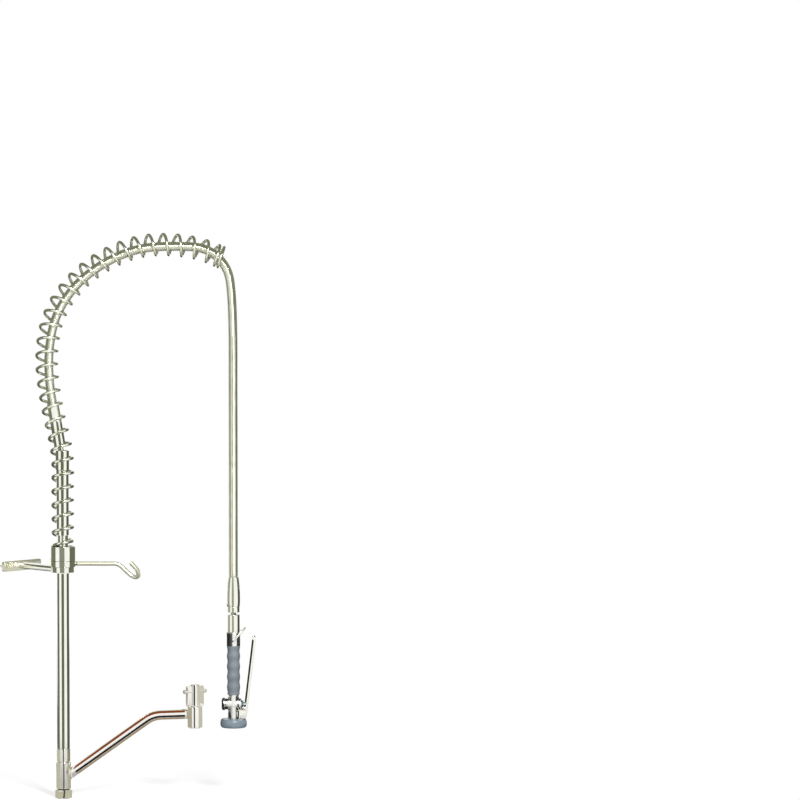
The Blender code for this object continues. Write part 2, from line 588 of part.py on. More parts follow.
def build_hook(steel, satin):
    ring = turned("hook_ring", tube_profile(HOOK_RING_RADIUS, COLLAR_BORE, 0.0, HOOK_RING_HEIGHT, 0.0006),
                  steel, (0, 0, HOOK_Z), steps=20)
    level = HOOK_RING_HEIGHT / 2
    start = COLLAR_BORE + GAP
    cut(ring, drill("hook_hole", HOOK_ROD_RADIUS + GAP, (RISER_RADIUS, 0, HOOK_Z + level),
                    (HOOK_RING_RADIUS + 0.004, 0, HOOK_Z + level), 10))
    # The rod runs out level, dips, and turns back up towards the viewer to make the cradle.
    curve = SmoothCurve([(start, 0, 0)] + HOOK_ROUTE)
    steps = [0.0, HOOK_STRAIGHT]
    while steps[-1] < curve.length - 0.003:
        steps.append(steps[-1] + 0.0046)
    points = [curve.at(distance) for distance in steps[:-1] + [curve.length]]
    rod = swept("hook_rod", points, HOOK_ROD_RADIUS, satin, 2)
    place(rod, (0, 0, HOOK_Z + level))


def build_cup(steel):
    inner = CUP_RADIUS - CUP_WALL
    turned("spring_cup", [
        (COLLAR_BORE, 0.0), (CUP_RADIUS - 0.0006, 0.0), (CUP_RADIUS, 0.0006), (CUP_RADIUS, CUP_HEIGHT - 0.0008),
        (CUP_RADIUS - 0.0008, CUP_HEIGHT), (inner, CUP_HEIGHT), (inner, CUP_FLOOR), (COLLAR_BORE, CUP_FLOOR)],
        steel, (0, 0, CUP_Z), steps=20)


# ------------------------------------------------------------------ arch spring and hose
def spring_wire_points():
    """Middle of the wire: a right-handed helix round the arch, its end turns closed."""
    first = Vector((0.0, 0.0, CUP_FLOOR_Z + GAP + SPRING_WIRE))
    route = [first] + [BALL + Vector((x, 0.0, z)) for x, z in ARCH_ROUTE]
    curve = SmoothCurve(route)
    count = SPRING_TURNS * CURL_POINTS
    turns = np.arange(count + 1) / CURL_POINTS

    def open_share(turn):
        low = np.clip(turn - CLOSED_TURNS_LOW, 0.0, 1.0)
        high = np.clip(SPRING_TURNS - CLOSED_TURNS_HIGH - turn, 0.0, 1.0)
        return min(low, high)

    share = np.array([open_share(turn + 0.5 / CURL_POINTS) for turn in turns[:-1]])
    closed = np.where(turns[:-1] < SPRING_TURNS / 2, CLOSED_PITCH_LOW, CLOSED_PITCH_HIGH)
    rest = curve.length - ((1 - share) * closed).sum() / CURL_POINTS
    open_pitch = rest / (share.sum() / CURL_POINTS)
    along = np.r_[0.0, np.cumsum((share * open_pitch + (1 - share) * closed) / CURL_POINTS)]
    points = []
    for turn, distance in zip(turns, along):
        angle = math.tau * turn
        heading = curve.heading(distance)
        out = BACK.cross(heading) * math.cos(angle) + BACK * math.sin(angle)
        lean = np.interp(distance / curve.length, *zip(*COIL_LEAN)) * math.sin(angle)
        slip = (lean + COIL_SKEW * math.cos(angle)) * open_share(turn)
        radius = SPRING_RADIUS + SPRING_SPREAD * min(2.0 * distance / curve.length, 1.0)
        points.append(curve.at(distance) + out * radius - heading * slip)
    print("spring: pitch %.1f mm, %d turns, arch %.0f mm"
          % (open_pitch * 1000, SPRING_TURNS, curve.length * 1000))
    return points


def least_gap_to_itself(points, wire_radius, skip):
    """Least clear distance between turns, measured on points along the wire."""
    fine = []
    for start, end in zip(points, points[1:]):
        fine += [start.lerp(end, i / 4) for i in range(4)]
    fine = np.array([tuple(point) for point in fine])
    least = 1.0
    for index in range(len(fine) - 4 * skip):
        least = min(least, np.linalg.norm(fine[index + 4 * skip:] - fine[index], axis=1).min())
    return least - 2 * wire_radius


def build_spring(spring_steel):
    points = spring_wire_points()
    print("spring: least gap to itself %.2f mm"
          % (least_gap_to_itself(points, SPRING_WIRE, CURL_POINTS // 2) * 1000))
    swept("arch_spring", points, SPRING_WIRE, spring_steel, 1)


def hose_curve():
    straight = [HOSE_START + HOSE_AXIS * (HOSE_PLAIN_END * share) for share in (0.0, 0.5, 1.0)]
    hanging = [Vector((HANDSET_X, 0.0, HOSE_END_Z + up)) for up in (0.400, 0.300, 0.200, 0.100, 0.020, 0.0)]
    return SmoothCurve(straight + [BALL + Vector((x, 0.0, z)) for x, z in HOSE_ROUTE] + hanging)


def build_hose(steel):
    """Ribbed hose: a rib and a groove point in turn, with plain straight ends."""
    curve = hose_curve()
    spread = curve.length - 2 * HOSE_PLAIN_END
    distances, swell = [0.0], [1.0]
    for step in range(2 * HOSE_RIBS + 1):
        distances.append(HOSE_PLAIN_END + spread * step / (2 * HOSE_RIBS))
        swell.append(1.0 if step % 2 == 0 else HOSE_GROOVE)
    distances.append(curve.length)
    swell.append(1.0)
    hose = swept("hose", [curve.at(distance) for distance in distances], HOSE_RADIUS, steel, 2, swell)
    bore_steps = 36
    core = [curve.at(curve.length * step / bore_steps) for step in range(bore_steps + 1)]
    core[0] = core[0] - curve.heading(0.0) * 0.001
    core[-1] = core[-1] + curve.heading(curve.length) * 0.001
    cut(hose, swept("hose_bore", core, HOSE_BORE, None, 1))
    print("hose: %.0f mm long, tightest bend %.0f mm" % (curve.length * 1000, curve.tightest() * 1000))


# ------------------------------------------------------------------ handset
def build_hose_end(steel):
    """The crimped ferrule and the neck that the handset swivels on."""
    socket = SWIVEL_NECK_RADIUS + RUNNING
    neck_top = 0.0136
    wide, bulge, high = LOWER_FERRULE_RADIUS, LOWER_FERRULE_BULGE, LOWER_FERRULE_LENGTH
    turned("lower_ferrule", [
        (socket, 0.0), (wide - 0.0008, 0.0), (wide, 0.0008), (wide, 0.0104), (wide - 0.0008, 0.0112),
        (wide, 0.0120), (bulge, 0.0150), (bulge, 0.0340), (bulge - 0.0018, 0.0520),
        (HOSE_RADIUS - 0.0002, high - 0.0008), (HOSE_RADIUS - 0.0008, high),
        (HOSE_BORE, high), (HOSE_BORE, neck_top + GAP), (socket, neck_top + GAP)],
        steel, (HANDSET_X, 0, FERRULE_Z))
    bore = 0.0038
    flange = -SWIVEL_SHOW - 0.0079
    turned("swivel_neck", [
        (bore, flange - 0.0067), (SWIVEL_FLANGE_RADIUS, flange - 0.0067), (SWIVEL_FLANGE_RADIUS, flange),
        (SWIVEL_NECK_RADIUS, flange), (SWIVEL_NECK_RADIUS, neck_top), (bore, neck_top)],
        steel, (HANDSET_X, 0, FERRULE_Z), steps=INNER)


def build_handle(steel, grip_rubber):
    plug = TUBE_RADIUS + 0.0006
    flange = SWIVEL_FLANGE_RADIUS + 2 * RUNNING
    lip = CONNECTOR_HEIGHT - 0.0076
    bore = TUBE_RADIUS - TUBE_WALL
    turned("handle_connector", [
        (bore, -CONNECTOR_PLUG), (plug, -CONNECTOR_PLUG), (plug, 0.0), (CONNECTOR_RADIUS, 0.0),
        (CONNECTOR_RADIUS, CONNECTOR_HEIGHT - 0.001), (CONNECTOR_RADIUS - 0.001, CONNECTOR_HEIGHT),
        (SWIVEL_NECK_RADIUS + RUNNING, CONNECTOR_HEIGHT), (SWIVEL_NECK_RADIUS + RUNNING, lip),
        (flange, lip), (flange, lip - 0.010), (bore, lip - 0.010)], steel, (HANDSET_X, 0, CONNECTOR_Z))
    web_low = BAIL_PIVOT_UP - 0.0040
    web_high = COLLAR_HEIGHT + GAP - CONNECTOR_PLUG - GAP
    socket = TUBE_RADIUS + RUNNING
    collar = turned("ring_collar", [
        (socket, 0.0), (COLLAR_RADIUS - 0.0005, 0.0), (COLLAR_RADIUS, 0.0005),
        (COLLAR_RADIUS, COLLAR_HEIGHT - 0.0005), (COLLAR_RADIUS - 0.0005, COLLAR_HEIGHT),
        (plug + RUNNING, COLLAR_HEIGHT), (plug + RUNNING, web_high), (bore, web_high), (bore, web_low),
        (socket, web_low)], steel, (HANDSET_X, 0, COLLAR_Z))
    pivot = Vector((HANDSET_X, 0, COLLAR_Z + BAIL_PIVOT_UP))
    for name, side in (("bail_hole_front", -1), ("bail_hole_back", 1)):
        cut(collar, drill(name, BAIL_WIRE + RUNNING, pivot + BACK * (side * (COLLAR_RADIUS - 0.0045)),
                          pivot + BACK * (side * (COLLAR_RADIUS + 0.002)), 10))
    tube_low = VALVE_TOP_Z - 0.0081
    turned("handle_tube", tube_profile(TUBE_RADIUS, bore, tube_low, COLLAR_Z + web_low - GAP), steel,
           (HANDSET_X, 0, 0), steps=INNER)
    heights = [GRIP_LENGTH * i / 17 for i in range(18)]
    skin = [(GRIP_RADIUS + GRIP_SWELL * math.cos(math.tau * (z - GRIP_FIRST_BULGE) / GRIP_PERIOD), z)
            for z in heights]
    turned("grip", [(socket, 0.0)] + skin + [(socket, GRIP_LENGTH)], grip_rubber, (HANDSET_X, 0, GRIP_Z),
           steps=16)


def build_bail(steel):
    """Hold ring: a wire loop whose bent-in ends turn in the collar."""
    straight = BAIL_LENGTH - BAIL_HALF_WIDTH
    bend = 0.0030
    outline = rounded([(COLLAR_RADIUS - 0.0040, 0, 0), (BAIL_HALF_WIDTH, 0, bend),
                       (BAIL_HALF_WIDTH, straight, 0)], 3)[:-1]
    half = [Vector((y, z)) for y, z in outline]
    arc = [Vector((BAIL_HALF_WIDTH * math.cos(math.pi * i / 12),
                   straight + BAIL_HALF_WIDTH * math.sin(math.pi * i / 12))) for i in range(7)]
    side = half + arc
    loop = [(point.x, point.y) for point in side] + [(-point.x, point.y) for point in reversed(side[:-1])]
    turn = Matrix.Rotation(BAIL_REST, 3, "Y")
    points = [turn @ Vector((0.0, y, z)) for y, z in loop]
    ring = swept("hold_ring", points, BAIL_WIRE, steel, 1)
    place(ring, (HANDSET_X, 0, COLLAR_Z + BAIL_PIVOT_UP))


def build_valve(steel, dark, rubber, spring_steel):
    axis = Vector((HANDSET_X, 0, 0))
    level = axis + UP * CHAMBER_Z
    radius = VALVE_BODY_RADIUS
    body = turned("valve_body", [(0.0, 0.0), (radius - 0.0005, 0.0), (radius, 0.0005),
                                 (radius, VALVE_BODY_HEIGHT - 0.0005), (radius - 0.0005, VALVE_BODY_HEIGHT),
                                 (0.0, VALVE_BODY_HEIGHT)], steel, axis + UP * VALVE_Z)
    length = CHAMBER_LEFT + CHAMBER_RIGHT
    barrel = turned("barrel", [(0.0, 0.0), (radius, 0.0), (radius, length - 0.0035), (radius - 0.0012, length - 0.001),
                               (radius - 0.0035, length), (0.0, length)], None, level - RIGHT * CHAMBER_LEFT,
                    RIGHT, clock=0.07)
    pivot = Vector((HANDSET_X + LEVER_PIVOT_X, 0, PIVOT_Z))
    lug_half = LEVER_HALF_WIDTH - LEVER_SHEET - 2 * GAP
    lug = extruded("lug", rounded([(-0.0085, -0.0046, 0), (0.0046, -0.0046, 0.0045), (0.0046, 0.0046, 0.0045),
                                   (-0.0085, 0.0046, 0)]), -lug_half, lug_half, None, pivot, -BACK, RIGHT)
    fuse(body, barrel, lug)
    socket = TUBE_RADIUS + RUNNING
    left, seat = CHAMBER_LEFT, SEAT_X
    bores = turned("chamber_bore", [
        (0.0, -0.001), (0.008, -0.001), (0.008, left + seat), (0.0045, left + seat), (0.0045, left + seat + 0.002),
        (0.0065, left + seat + 0.002), (0.0065, left + 0.0094), (PIN_RADIUS + RUNNING, left + 0.0094),
        (PIN_RADIUS + RUNNING, length + 0.001), (0.0, length + 0.001)], None, level - RIGHT * left, RIGHT)
    cut(body, bores,
        drill("tube_socket", socket, axis + UP * (VALVE_TOP_Z - TUBE_SOCKET), axis + UP * (VALVE_TOP_Z + 0.001), INNER, 0.0),
        drill("inlet_way", VALVE_WAY_RADIUS, level - RIGHT * INLET_WAY_LEFT,
              level - RIGHT * INLET_WAY_LEFT + UP * (CHAMBER_DROP - TUBE_SOCKET + 0.001), 8),
        drill("outlet_way", VALVE_WAY_RADIUS, axis + RIGHT * OUTLET_WAY_RIGHT + UP * (VALVE_Z + SHELL_STUD - 0.0009),
              level + RIGHT * OUTLET_WAY_RIGHT, 8),
        drill("shell_socket", SHELL_STUD_RADIUS + GAP, axis + UP * (VALVE_Z - 0.001),
              axis + UP * (VALVE_Z + SHELL_STUD + GAP), ROUND, 0.0),
        drill("pivot_hole", PIVOT_PIN_RADIUS + RUNNING, pivot - BACK * 0.012, pivot + BACK * 0.012, 12))

    turned("valve_cap", [
        (0.0, -CAP_PLUG), (0.0077, -CAP_PLUG), (0.0077, 0.0), (CAP_RADIUS - 0.0006, 0.0), (CAP_RADIUS, 0.0006),
        (CAP_RADIUS, CAP_THICK - 0.0010), (CAP_RADIUS - 0.0010, CAP_THICK), (0.0, CAP_THICK)],
        dark, level - RIGHT * (left + GAP), -RIGHT)
    curl = 0.0040
    wire = 0.0005
    start = level + RIGHT * (CAP_PLUG - left - GAP + 0.001)
    turns, per_turn, run = 3, 8, 0.0030
    coil = [start + RIGHT * (run * i / (turns * per_turn)) + (UP * math.cos(math.tau * i / per_turn)
            + BACK * math.sin(math.tau * i / per_turn)) * curl for i in range(turns * per_turn + 1)]
    swept("valve_spring", coil, wire, spring_steel, 0)
    turned("valve_disc", [(0.0, -0.0024), (0.0060, -0.0024), (0.0065, -0.0020), (0.0065, -GAP), (0.0, -GAP)],
           rubber, level + RIGHT * seat, RIGHT, INNER)
    turned("stem_seal", [(PIN_RADIUS + RUNNING, GAP), (SEAL_RADIUS, GAP), (SEAL_RADIUS, SEAL_THICK * 0.6),
                         (SEAL_RADIUS - 0.0010, SEAL_THICK + GAP), (PIN_RADIUS + RUNNING, SEAL_THICK + GAP)],
           rubber, level + RIGHT * CHAMBER_RIGHT, RIGHT, 18)
    # The pin's domed end bears on the inside of the lever's web.
    tip = web_inside_at(CHAMBER_Z - PIVOT_Z) + LEVER_PIVOT_X - GAP
    turned("push_pin", [
        (0.0, seat), (PIN_STEM_RADIUS, seat), (PIN_STEM_RADIUS, 0.0112), (PIN_RADIUS, 0.0112),
        (PIN_RADIUS, tip - 0.0026), (PIN_RADIUS * 0.72, tip - 0.0009), (0.0, tip)], steel, level, RIGHT, INNER)


def arm_outer_at(up):
    """Outer line of the lever's arm, right of its pivot, at a height above the pivot."""
    return 0.0119 + LEVER_LEAN * up


def web_inside_at(up):
    return arm_outer_at(up) - LEVER_SHEET * math.hypot(1.0, LEVER_LEAN)


def build_lever(steel):
    pivot = Vector((HANDSET_X + LEVER_PIVOT_X, 0, PIVOT_Z))
    top = LEVER_LENGTH
    low, shoulder = -0.0086, 0.0100
    outline = rounded([
        (-0.0066, low, 0.0066), (arm_outer_at(low), low, 0.0020), (arm_outer_at(top), top, 0.0040),
        (arm_outer_at(top) - LEVER_DEPTH, top, 0.0034), (arm_outer_at(shoulder) - LEVER_DEPTH, shoulder, 0),
        (-0.0066, shoulder, 0.0030)], 3)
    lever = extruded("lever", outline, -LEVER_HALF_WIDTH, LEVER_HALF_WIDTH, steel, pivot, -BACK, RIGHT)
    inner = LEVER_HALF_WIDTH - LEVER_SHEET
    under = low - 0.004
    roof = top - LEVER_SHEET
    hollow = rounded([(-0.012, under, 0), (web_inside_at(under), under, 0), (web_inside_at(roof), roof, 0.0026),
                      (-0.012, roof, 0)], 3)
    cut(lever, extruded("lever_hollow", hollow, -inner, inner, None, pivot, -BACK, RIGHT),
        drill("lever_eye", PIVOT_PIN_RADIUS + RUNNING, pivot - BACK * 0.014, pivot + BACK * 0.014, 12))
    head, shank = 0.0036, LEVER_HALF_WIDTH + GAP
    turned("lever_pivot_pin", [
        (0.0, -shank - 0.0012), (head - 0.0008, -shank - 0.0012), (head, -shank - 0.0004), (head, -shank),
        (PIVOT_PIN_RADIUS, -shank), (PIVOT_PIN_RADIUS, shank), (head, shank), (head, shank + 0.0004),
        (head - 0.0008, shank + 0.0012), (0.0, shank + 0.0012)], steel, pivot, BACK, INNER)


def build_spray_head(steel, bumper_rubber, dark):
    top = SHELL_TOP_Z
    shoulder, rim = -0.0026, SHELL_RADIUS
    low = shoulder - SHELL_DEPTH
    step = low + 0.0055
    turned("spray_shell", [
        (0.0045, SHELL_STUD), (SHELL_STUD_RADIUS, SHELL_STUD), (SHELL_STUD_RADIUS, 0.0), (0.0120, 0.0),
        (0.0120, shoulder), (rim, shoulder),
        (rim, low), (rim - 0.0020, low), (rim - 0.0020, step), (rim - 0.0038, step),
        (rim - 0.0038, shoulder - 0.0030),
        (0.0045, shoulder - 0.0030)], steel, (HANDSET_X, 0, top), steps=ROUND)
    disc = rim - 0.0020 - GAP
    face = turned("spray_face", [(0.0, step - GAP), (disc, step - GAP), (disc, step - 0.0026),
                                 (disc - 0.0030, step - 0.0034), (0.0, step - 0.0040)],
                  dark, (HANDSET_X, 0, top), steps=ROUND)
    for index in range(NOZZLES):
        angle = math.tau * (index + 0.2) / NOZZLES
        spot = Vector((HANDSET_X + 0.0105 * math.cos(angle), 0.0105 * math.sin(angle), top))
        cut(face, drill("nozzle_%d" % index, NOZZLE_RADIUS, spot + UP * (step - 0.006), spot + UP * (step + 0.001), 5))
    bottom = top - BUMPER_HEIGHT - GAP
    outer, lip = BUMPER_RADIUS, shoulder + GAP
    high = -GAP
    turned("bumper_ring", [
        (rim + GAP, bottom - top), (outer - 0.0035, bottom - top), (outer - 0.0010, bottom - top + 0.0022),
        (outer, bottom - top + 0.0060), (outer, high - 0.0060), (outer - 0.0010, high - 0.0022),
        (outer - 0.0035, high), (0.0120 + GAP, high), (0.0120 + GAP, lip), (rim + GAP, lip)],
        bumper_rubber, (HANDSET_X, 0, top), steps=22)


# ------------------------------------------------------------------ spout
def build_hub(steel):
    gallery_low, gallery_high = 0.011, HUB_HEIGHT - 0.011
    hub = turned("spout_hub", [
        (HUB_BORE, 0.0), (HUB_RADIUS - 0.0006, 0.0), (HUB_RADIUS, 0.0006), (HUB_RADIUS, HUB_HEIGHT - 0.0006),
        (HUB_RADIUS - 0.0006, HUB_HEIGHT), (HUB_BORE, HUB_HEIGHT), (HUB_BORE, gallery_high),
        (HUB_GALLERY, gallery_high), (HUB_GALLERY, gallery_low), (HUB_BORE, gallery_low)], steel, (0, 0, HUB_Z))
    way = Vector((math.cos(SPOUT_RISE), 0.0, math.sin(SPOUT_RISE)))
    start = UP * SPOUT_Z
    cut(hub, drill("spout_hole", SPOUT_RADIUS + GAP, start + way * (HUB_RADIUS * 0.34),
                   start + way * (HUB_RADIUS * 2.7), 16))


def spout_path():
    """Straight rise, a bend, and an almost level run into the tap."""
    knee = Vector((SPOUT_KNEE_X, 0.0, SPOUT_Z + SPOUT_KNEE_X * math.tan(SPOUT_RISE)))
    rise = Vector((math.cos(SPOUT_RISE), 0.0, math.sin(SPOUT_RISE)))
    level = Vector((math.cos(SPOUT_LEVEL), 0.0, math.sin(SPOUT_LEVEL)))
    half = (SPOUT_RISE - SPOUT_LEVEL) / 2
    centre = knee - rise * (SPOUT_BEND * math.tan(half)) + Vector((rise.z, 0.0, -rise.x)) * SPOUT_BEND
    steps = 6
    bend = []
    for step in range(steps + 1):
        heading = SPOUT_RISE - 2 * half * step / steps
        bend.append(centre + Vector((-math.sin(heading), 0.0, math.cos(heading))) * SPOUT_BEND)
    inlet_depth = 0.006
    end_x = SPOUT_REACH - TAP_RADIUS + inlet_depth
    end = knee + level * ((end_x - SPOUT_KNEE_X) / level.x)
    return [UP * SPOUT_Z + rise * 0.002] + bend + [end], level


def build_spout(steel):
    path, level = spout_path()
    tube = swept("spout_tube", path, SPOUT_RADIUS, steel, 4)
    core = [path[0] - (path[1] - path[0]).normalized() * 0.001] + path[1:-1] + [path[-1] + level * 0.001]
    cut(tube, swept("spout_core", core, SPOUT_RADIUS - SPOUT_WALL, None, 2),
        drill("hub_clearance", HUB_GALLERY + 2 * GAP, (0, 0, HUB_Z - 0.01), (0, 0, HUB_Z + HUB_HEIGHT + 0.01), 16))


def build_tap(steel, dark, brass):
    at = Vector((SPOUT_REACH, 0, TAP_Z))
    seat = AERATOR_DEPTH + GAP
    cartridge_low = 0.0170
    cartridge_flange = TAP_HEIGHT - 0.0065
    chamber = 0.008
    wide = 0.009
    tap = turned("spout_valve_body", [
        (AERATOR_RADIUS + RUNNING, 0.0), (TAP_RADIUS - 0.0008, 0.0), (TAP_RADIUS, 0.0008),
        (TAP_RADIUS, TAP_HEIGHT - 0.0006), (TAP_RADIUS - 0.0006, TAP_HEIGHT), (wide, TAP_HEIGHT),
        (wide, cartridge_flange), (chamber, cartridge_flange), (chamber, seat), (AERATOR_RADIUS + RUNNING, seat)],
        steel, at)
    path, level = spout_path()
    end = path[-1]
    cut(tap, drill("tube_socket_tap", SPOUT_RADIUS + GAP, end - level * 0.012, end + level * GAP, 16),
        drill("tap_port", 0.0060, end - level * 0.001, end + level * 0.004, 8))
    housing = AERATOR_RADIUS
    bore = 0.0082
    turned("aerator_housing", [
        (bore - 0.0008, -AERATOR_SHOW), (housing - 0.0005, -AERATOR_SHOW), (housing, -AERATOR_SHOW + 0.0005),
        (housing, AERATOR_DEPTH), (bore, AERATOR_DEPTH), (bore, -AERATOR_SHOW + 0.0010),
        (bore - 0.0008, -AERATOR_SHOW + 0.0010)], steel, at)
    turned("aerator_insert", [(0.0, -AERATOR_SHOW + 0.0013), (bore - GAP, -AERATOR_SHOW + 0.0013),
                              (bore - GAP, AERATOR_DEPTH - 0.0006), (0.0, AERATOR_DEPTH - 0.0006)],
           dark, at, steps=INNER)
    turned("valve_cartridge", [
        (SPINDLE_RADIUS + RUNNING, cartridge_low), (0.0055, cartridge_low), (0.0055, cartridge_flange + GAP),
        (wide - GAP, cartridge_flange + GAP), (wide - GAP, TAP_HEIGHT - 0.0003),
        (SPINDLE_RADIUS + RUNNING, TAP_HEIGHT - 0.0003)], brass, at, steps=INNER)


def build_tap_handle(steel, dark, brass):
    at = Vector((SPOUT_REACH, 0, HANDLE_Z))
    along = Vector((math.cos(WING_TURN), math.sin(WING_TURN), 0.0))
    height, boss = HANDLE_HEIGHT, HANDLE_BOSS
    handle = turned("spout_handle", [(0.0, 0.0), (boss, 0.0), (boss, height - 0.0006), (boss - 0.0006, height),
                                     (0.0, height)], steel, at, across=along)
    half, low, high = WING_HALF_SPAN, 0.0006, height
    wing = extruded("wings", rounded([(-half, low, 0.0010), (half, low, 0.0010), (half, high, 0.0030),
                                      (-half, high, 0.0030)], 2),
                    -WING_THICK / 2, WING_THICK / 2, None, at, along.cross(UP), along)
    fuse(handle, wing)
    pin_z = at + UP * CROSS_PIN_UP
    spindle_top = 0.0150
    stud, stud_depth = 0.0022, 0.0045
    cut(handle, drill("cross_hole", CROSS_PIN_RADIUS + GAP, pin_z - along * (WING_HALF_SPAN + 15 * GAP),
                      pin_z + along * (WING_HALF_SPAN + 15 * GAP), 14),
        drill("spindle_hole", SPINDLE_RADIUS + RUNNING, at - UP * 0.001, at + UP * (spindle_top + GAP), 14),
        drill("cap_hole", stud + GAP, at + UP * (height - stud_depth - GAP), at + UP * (height + 0.001), 10))
    end, r, big = CROSS_PIN_HALF, CROSS_PIN_RADIUS, CROSS_PIN_END_RADIUS
    knob = WING_HALF_SPAN + GAP
    turned("handle_cross_pin", [
        (0.0, -end), (big * 0.6, -end + 0.0004), (big, -end + 0.0022), (big, -knob - 0.0008), (r, -knob),
        (r, knob), (big, knob + 0.0008), (big, end - 0.0022), (big * 0.6, end - 0.0004), (0.0, end)],
        steel, pin_z, along, INNER)
    dome = [(boss * math.sin(math.pi / 2 * (4 - i) / 4), height + GAP + 0.0006
             + 0.0031 * math.cos(math.pi / 2 * (4 - i) / 4)) for i in range(5)]
    turned("handle_cap", [(0.0, height - stud_depth), (stud, height - stud_depth), (stud, height + GAP),
                          (boss, height + GAP)] + dome, dark, at, steps=16)
    turned("spindle", rod_profile(SPINDLE_RADIUS, TAP_Z + 0.0180 - HANDLE_Z, spindle_top), brass, at, steps=INNER)


def main():
    for obj in list(bpy.data.objects):
        bpy.data.objects.remove(obj, do_unlink=True)
    steel = finish("polished_stainless", (0.66, 0.66, 0.60), 0.16, 1.0)
    satin = finish("satin_stainless", (0.62, 0.61, 0.54), 0.32, 1.0)
    spring_steel = finish("spring_stainless", (0.64, 0.64, 0.58), 0.20, 1.0)
    brass = finish("valve_brass", (0.62, 0.50, 0.28), 0.35, 1.0)
    dark = finish("black_plastic", (0.02, 0.02, 0.02), 0.40, 0.0)
    rubber = finish("seal_rubber", (0.05, 0.14, 0.16), 0.55, 0.0)
    grip_rubber = finish("grip_rubber", (0.20, 0.24, 0.28), 0.50, 0.0)
    bumper_rubber = finish("bumper_rubber", (0.25, 0.31, 0.37), 0.35, 0.0)

    build_base(steel, rubber, dark)
    build_spigot(steel, rubber)
    build_column(steel)
    build_hose_joint(steel, rubber)
    build_bracket(steel, satin)
    build_hook(steel, satin)
    build_cup(steel)
    build_spring(spring_steel)
    build_hose(steel)
    build_hose_end(steel)
    build_handle(steel, grip_rubber)
    build_bail(steel)
    build_valve(steel, steel, rubber, spring_steel)
    build_lever(steel)
    build_spray_head(steel, bumper_rubber, dark)
    build_hub(steel)
    build_spout(steel)
    build_tap(steel, dark, brass)
    build_tap_handle(steel, steel, brass)


main()
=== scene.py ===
# %% [markdown]
# # A pre-rinse faucet in polished stainless steel
# A pre-rinse faucet stands over a restaurant sink. Water comes up a tall riser, turns over in a
# ribbed steel hose that a long coil spring holds in an arch, and ends in a squeeze handset. A
# second, swinging spout fills pots. Nearly all of it is turned and polished steel, so this lesson
# is about two things: round pieces made from few measures, and a studio that a mirror can show.

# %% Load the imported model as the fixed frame
import bpy, bmesh, json, math
import numpy as np
from mathutils import Matrix, Vector


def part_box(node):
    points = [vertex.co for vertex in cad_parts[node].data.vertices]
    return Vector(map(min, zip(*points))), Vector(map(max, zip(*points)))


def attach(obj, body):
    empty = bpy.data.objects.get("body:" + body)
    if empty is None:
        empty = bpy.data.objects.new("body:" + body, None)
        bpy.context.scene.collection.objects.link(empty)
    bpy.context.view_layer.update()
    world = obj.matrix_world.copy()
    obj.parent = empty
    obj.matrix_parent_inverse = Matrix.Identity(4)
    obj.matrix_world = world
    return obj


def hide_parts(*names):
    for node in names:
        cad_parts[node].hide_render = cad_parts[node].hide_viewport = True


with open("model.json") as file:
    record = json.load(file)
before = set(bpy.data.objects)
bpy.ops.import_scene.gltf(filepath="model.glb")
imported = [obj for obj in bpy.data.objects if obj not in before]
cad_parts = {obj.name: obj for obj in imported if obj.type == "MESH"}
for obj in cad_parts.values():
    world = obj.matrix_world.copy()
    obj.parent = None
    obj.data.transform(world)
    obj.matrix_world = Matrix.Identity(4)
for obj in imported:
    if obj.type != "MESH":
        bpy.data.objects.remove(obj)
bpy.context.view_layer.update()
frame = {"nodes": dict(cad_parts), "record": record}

UP, RIGHT, BACK = Vector((0, 0, 1)), Vector((1, 0, 0)), Vector((0, 1, 0))
MM = 0.001
GAP = 0.3 * MM

# %% [markdown]
# ## The camera
# The photograph looks almost square on, from a long way off: the far and near sides of the cup and
# the bumper are the same width, and only thin ellipses show at their ends. A long lens from twelve
# metres gives that. The picture is 1.6 m wide at the faucet, which stands in its left part.

# %% Place the camera
PICTURE_WIDTH = 1.5952
CAMERA_DISTANCE = 12.0
CAMERA_ELEVATION = math.radians(4.0)
PICTURE_MIDDLE = Vector((0.6736, 0.0, 0.7993))

camera = bpy.data.objects.new("camera", bpy.data.cameras.new("camera"))
bpy.context.scene.collection.objects.link(camera)
bpy.context.scene.camera = camera
camera.data.sensor_width = 36.0
camera.data.lens = 36.0 * CAMERA_DISTANCE / PICTURE_WIDTH
camera.data.clip_end = 100.0
camera.location = PICTURE_MIDDLE + CAMERA_DISTANCE * Vector(
    (0.0, -math.cos(CAMERA_ELEVATION), math.sin(CAMERA_ELEVATION)))
camera.rotation_euler = (math.pi / 2 - CAMERA_ELEVATION, 0.0, 0.0)
print("camera lens %.0f mm" % camera.data.lens)

# %% [markdown]
# ## Colours and nodes
# Colours are written as they look on a screen, in sRGB hex, and one function turns them into the
# linear light that the renderer adds up. One more function adds a node with its settings and links.

# %% Colour and node helpers
def linear(hex_colour, alpha=1.0):
    channels = [int(hex_colour[i:i + 2], 16) / 255 for i in (1, 3, 5)]
    return tuple(c / 12.92 if c <= 0.04045 else ((c + 0.055) / 1.055) ** 2.4 for c in channels) + (alpha,)


def add_node(tree, kind, settings=None, **inputs):
    """Add a node; each input is a socket to link from, or a plain value, by the input's name."""
    node = tree.nodes.new("ShaderNode" + kind)
    for key, value in (settings or {}).items():
        setattr(node, key, value)
    for key, value in inputs.items():
        name = key.replace("_", " ")
        socket = next(s for s in node.inputs if s.name == name and s.enabled)
        if isinstance(value, bpy.types.NodeSocket):
            tree.links.new(value, socket)
        else:
            socket.default_value = value
    return node


def new_material(name):
    """A fresh material with its Principled shader: (material, tree, shader)."""
    material = bpy.data.materials.new(name)
    material.use_nodes = True
    tree = material.node_tree
    return material, tree, tree.nodes["Principled BSDF"]


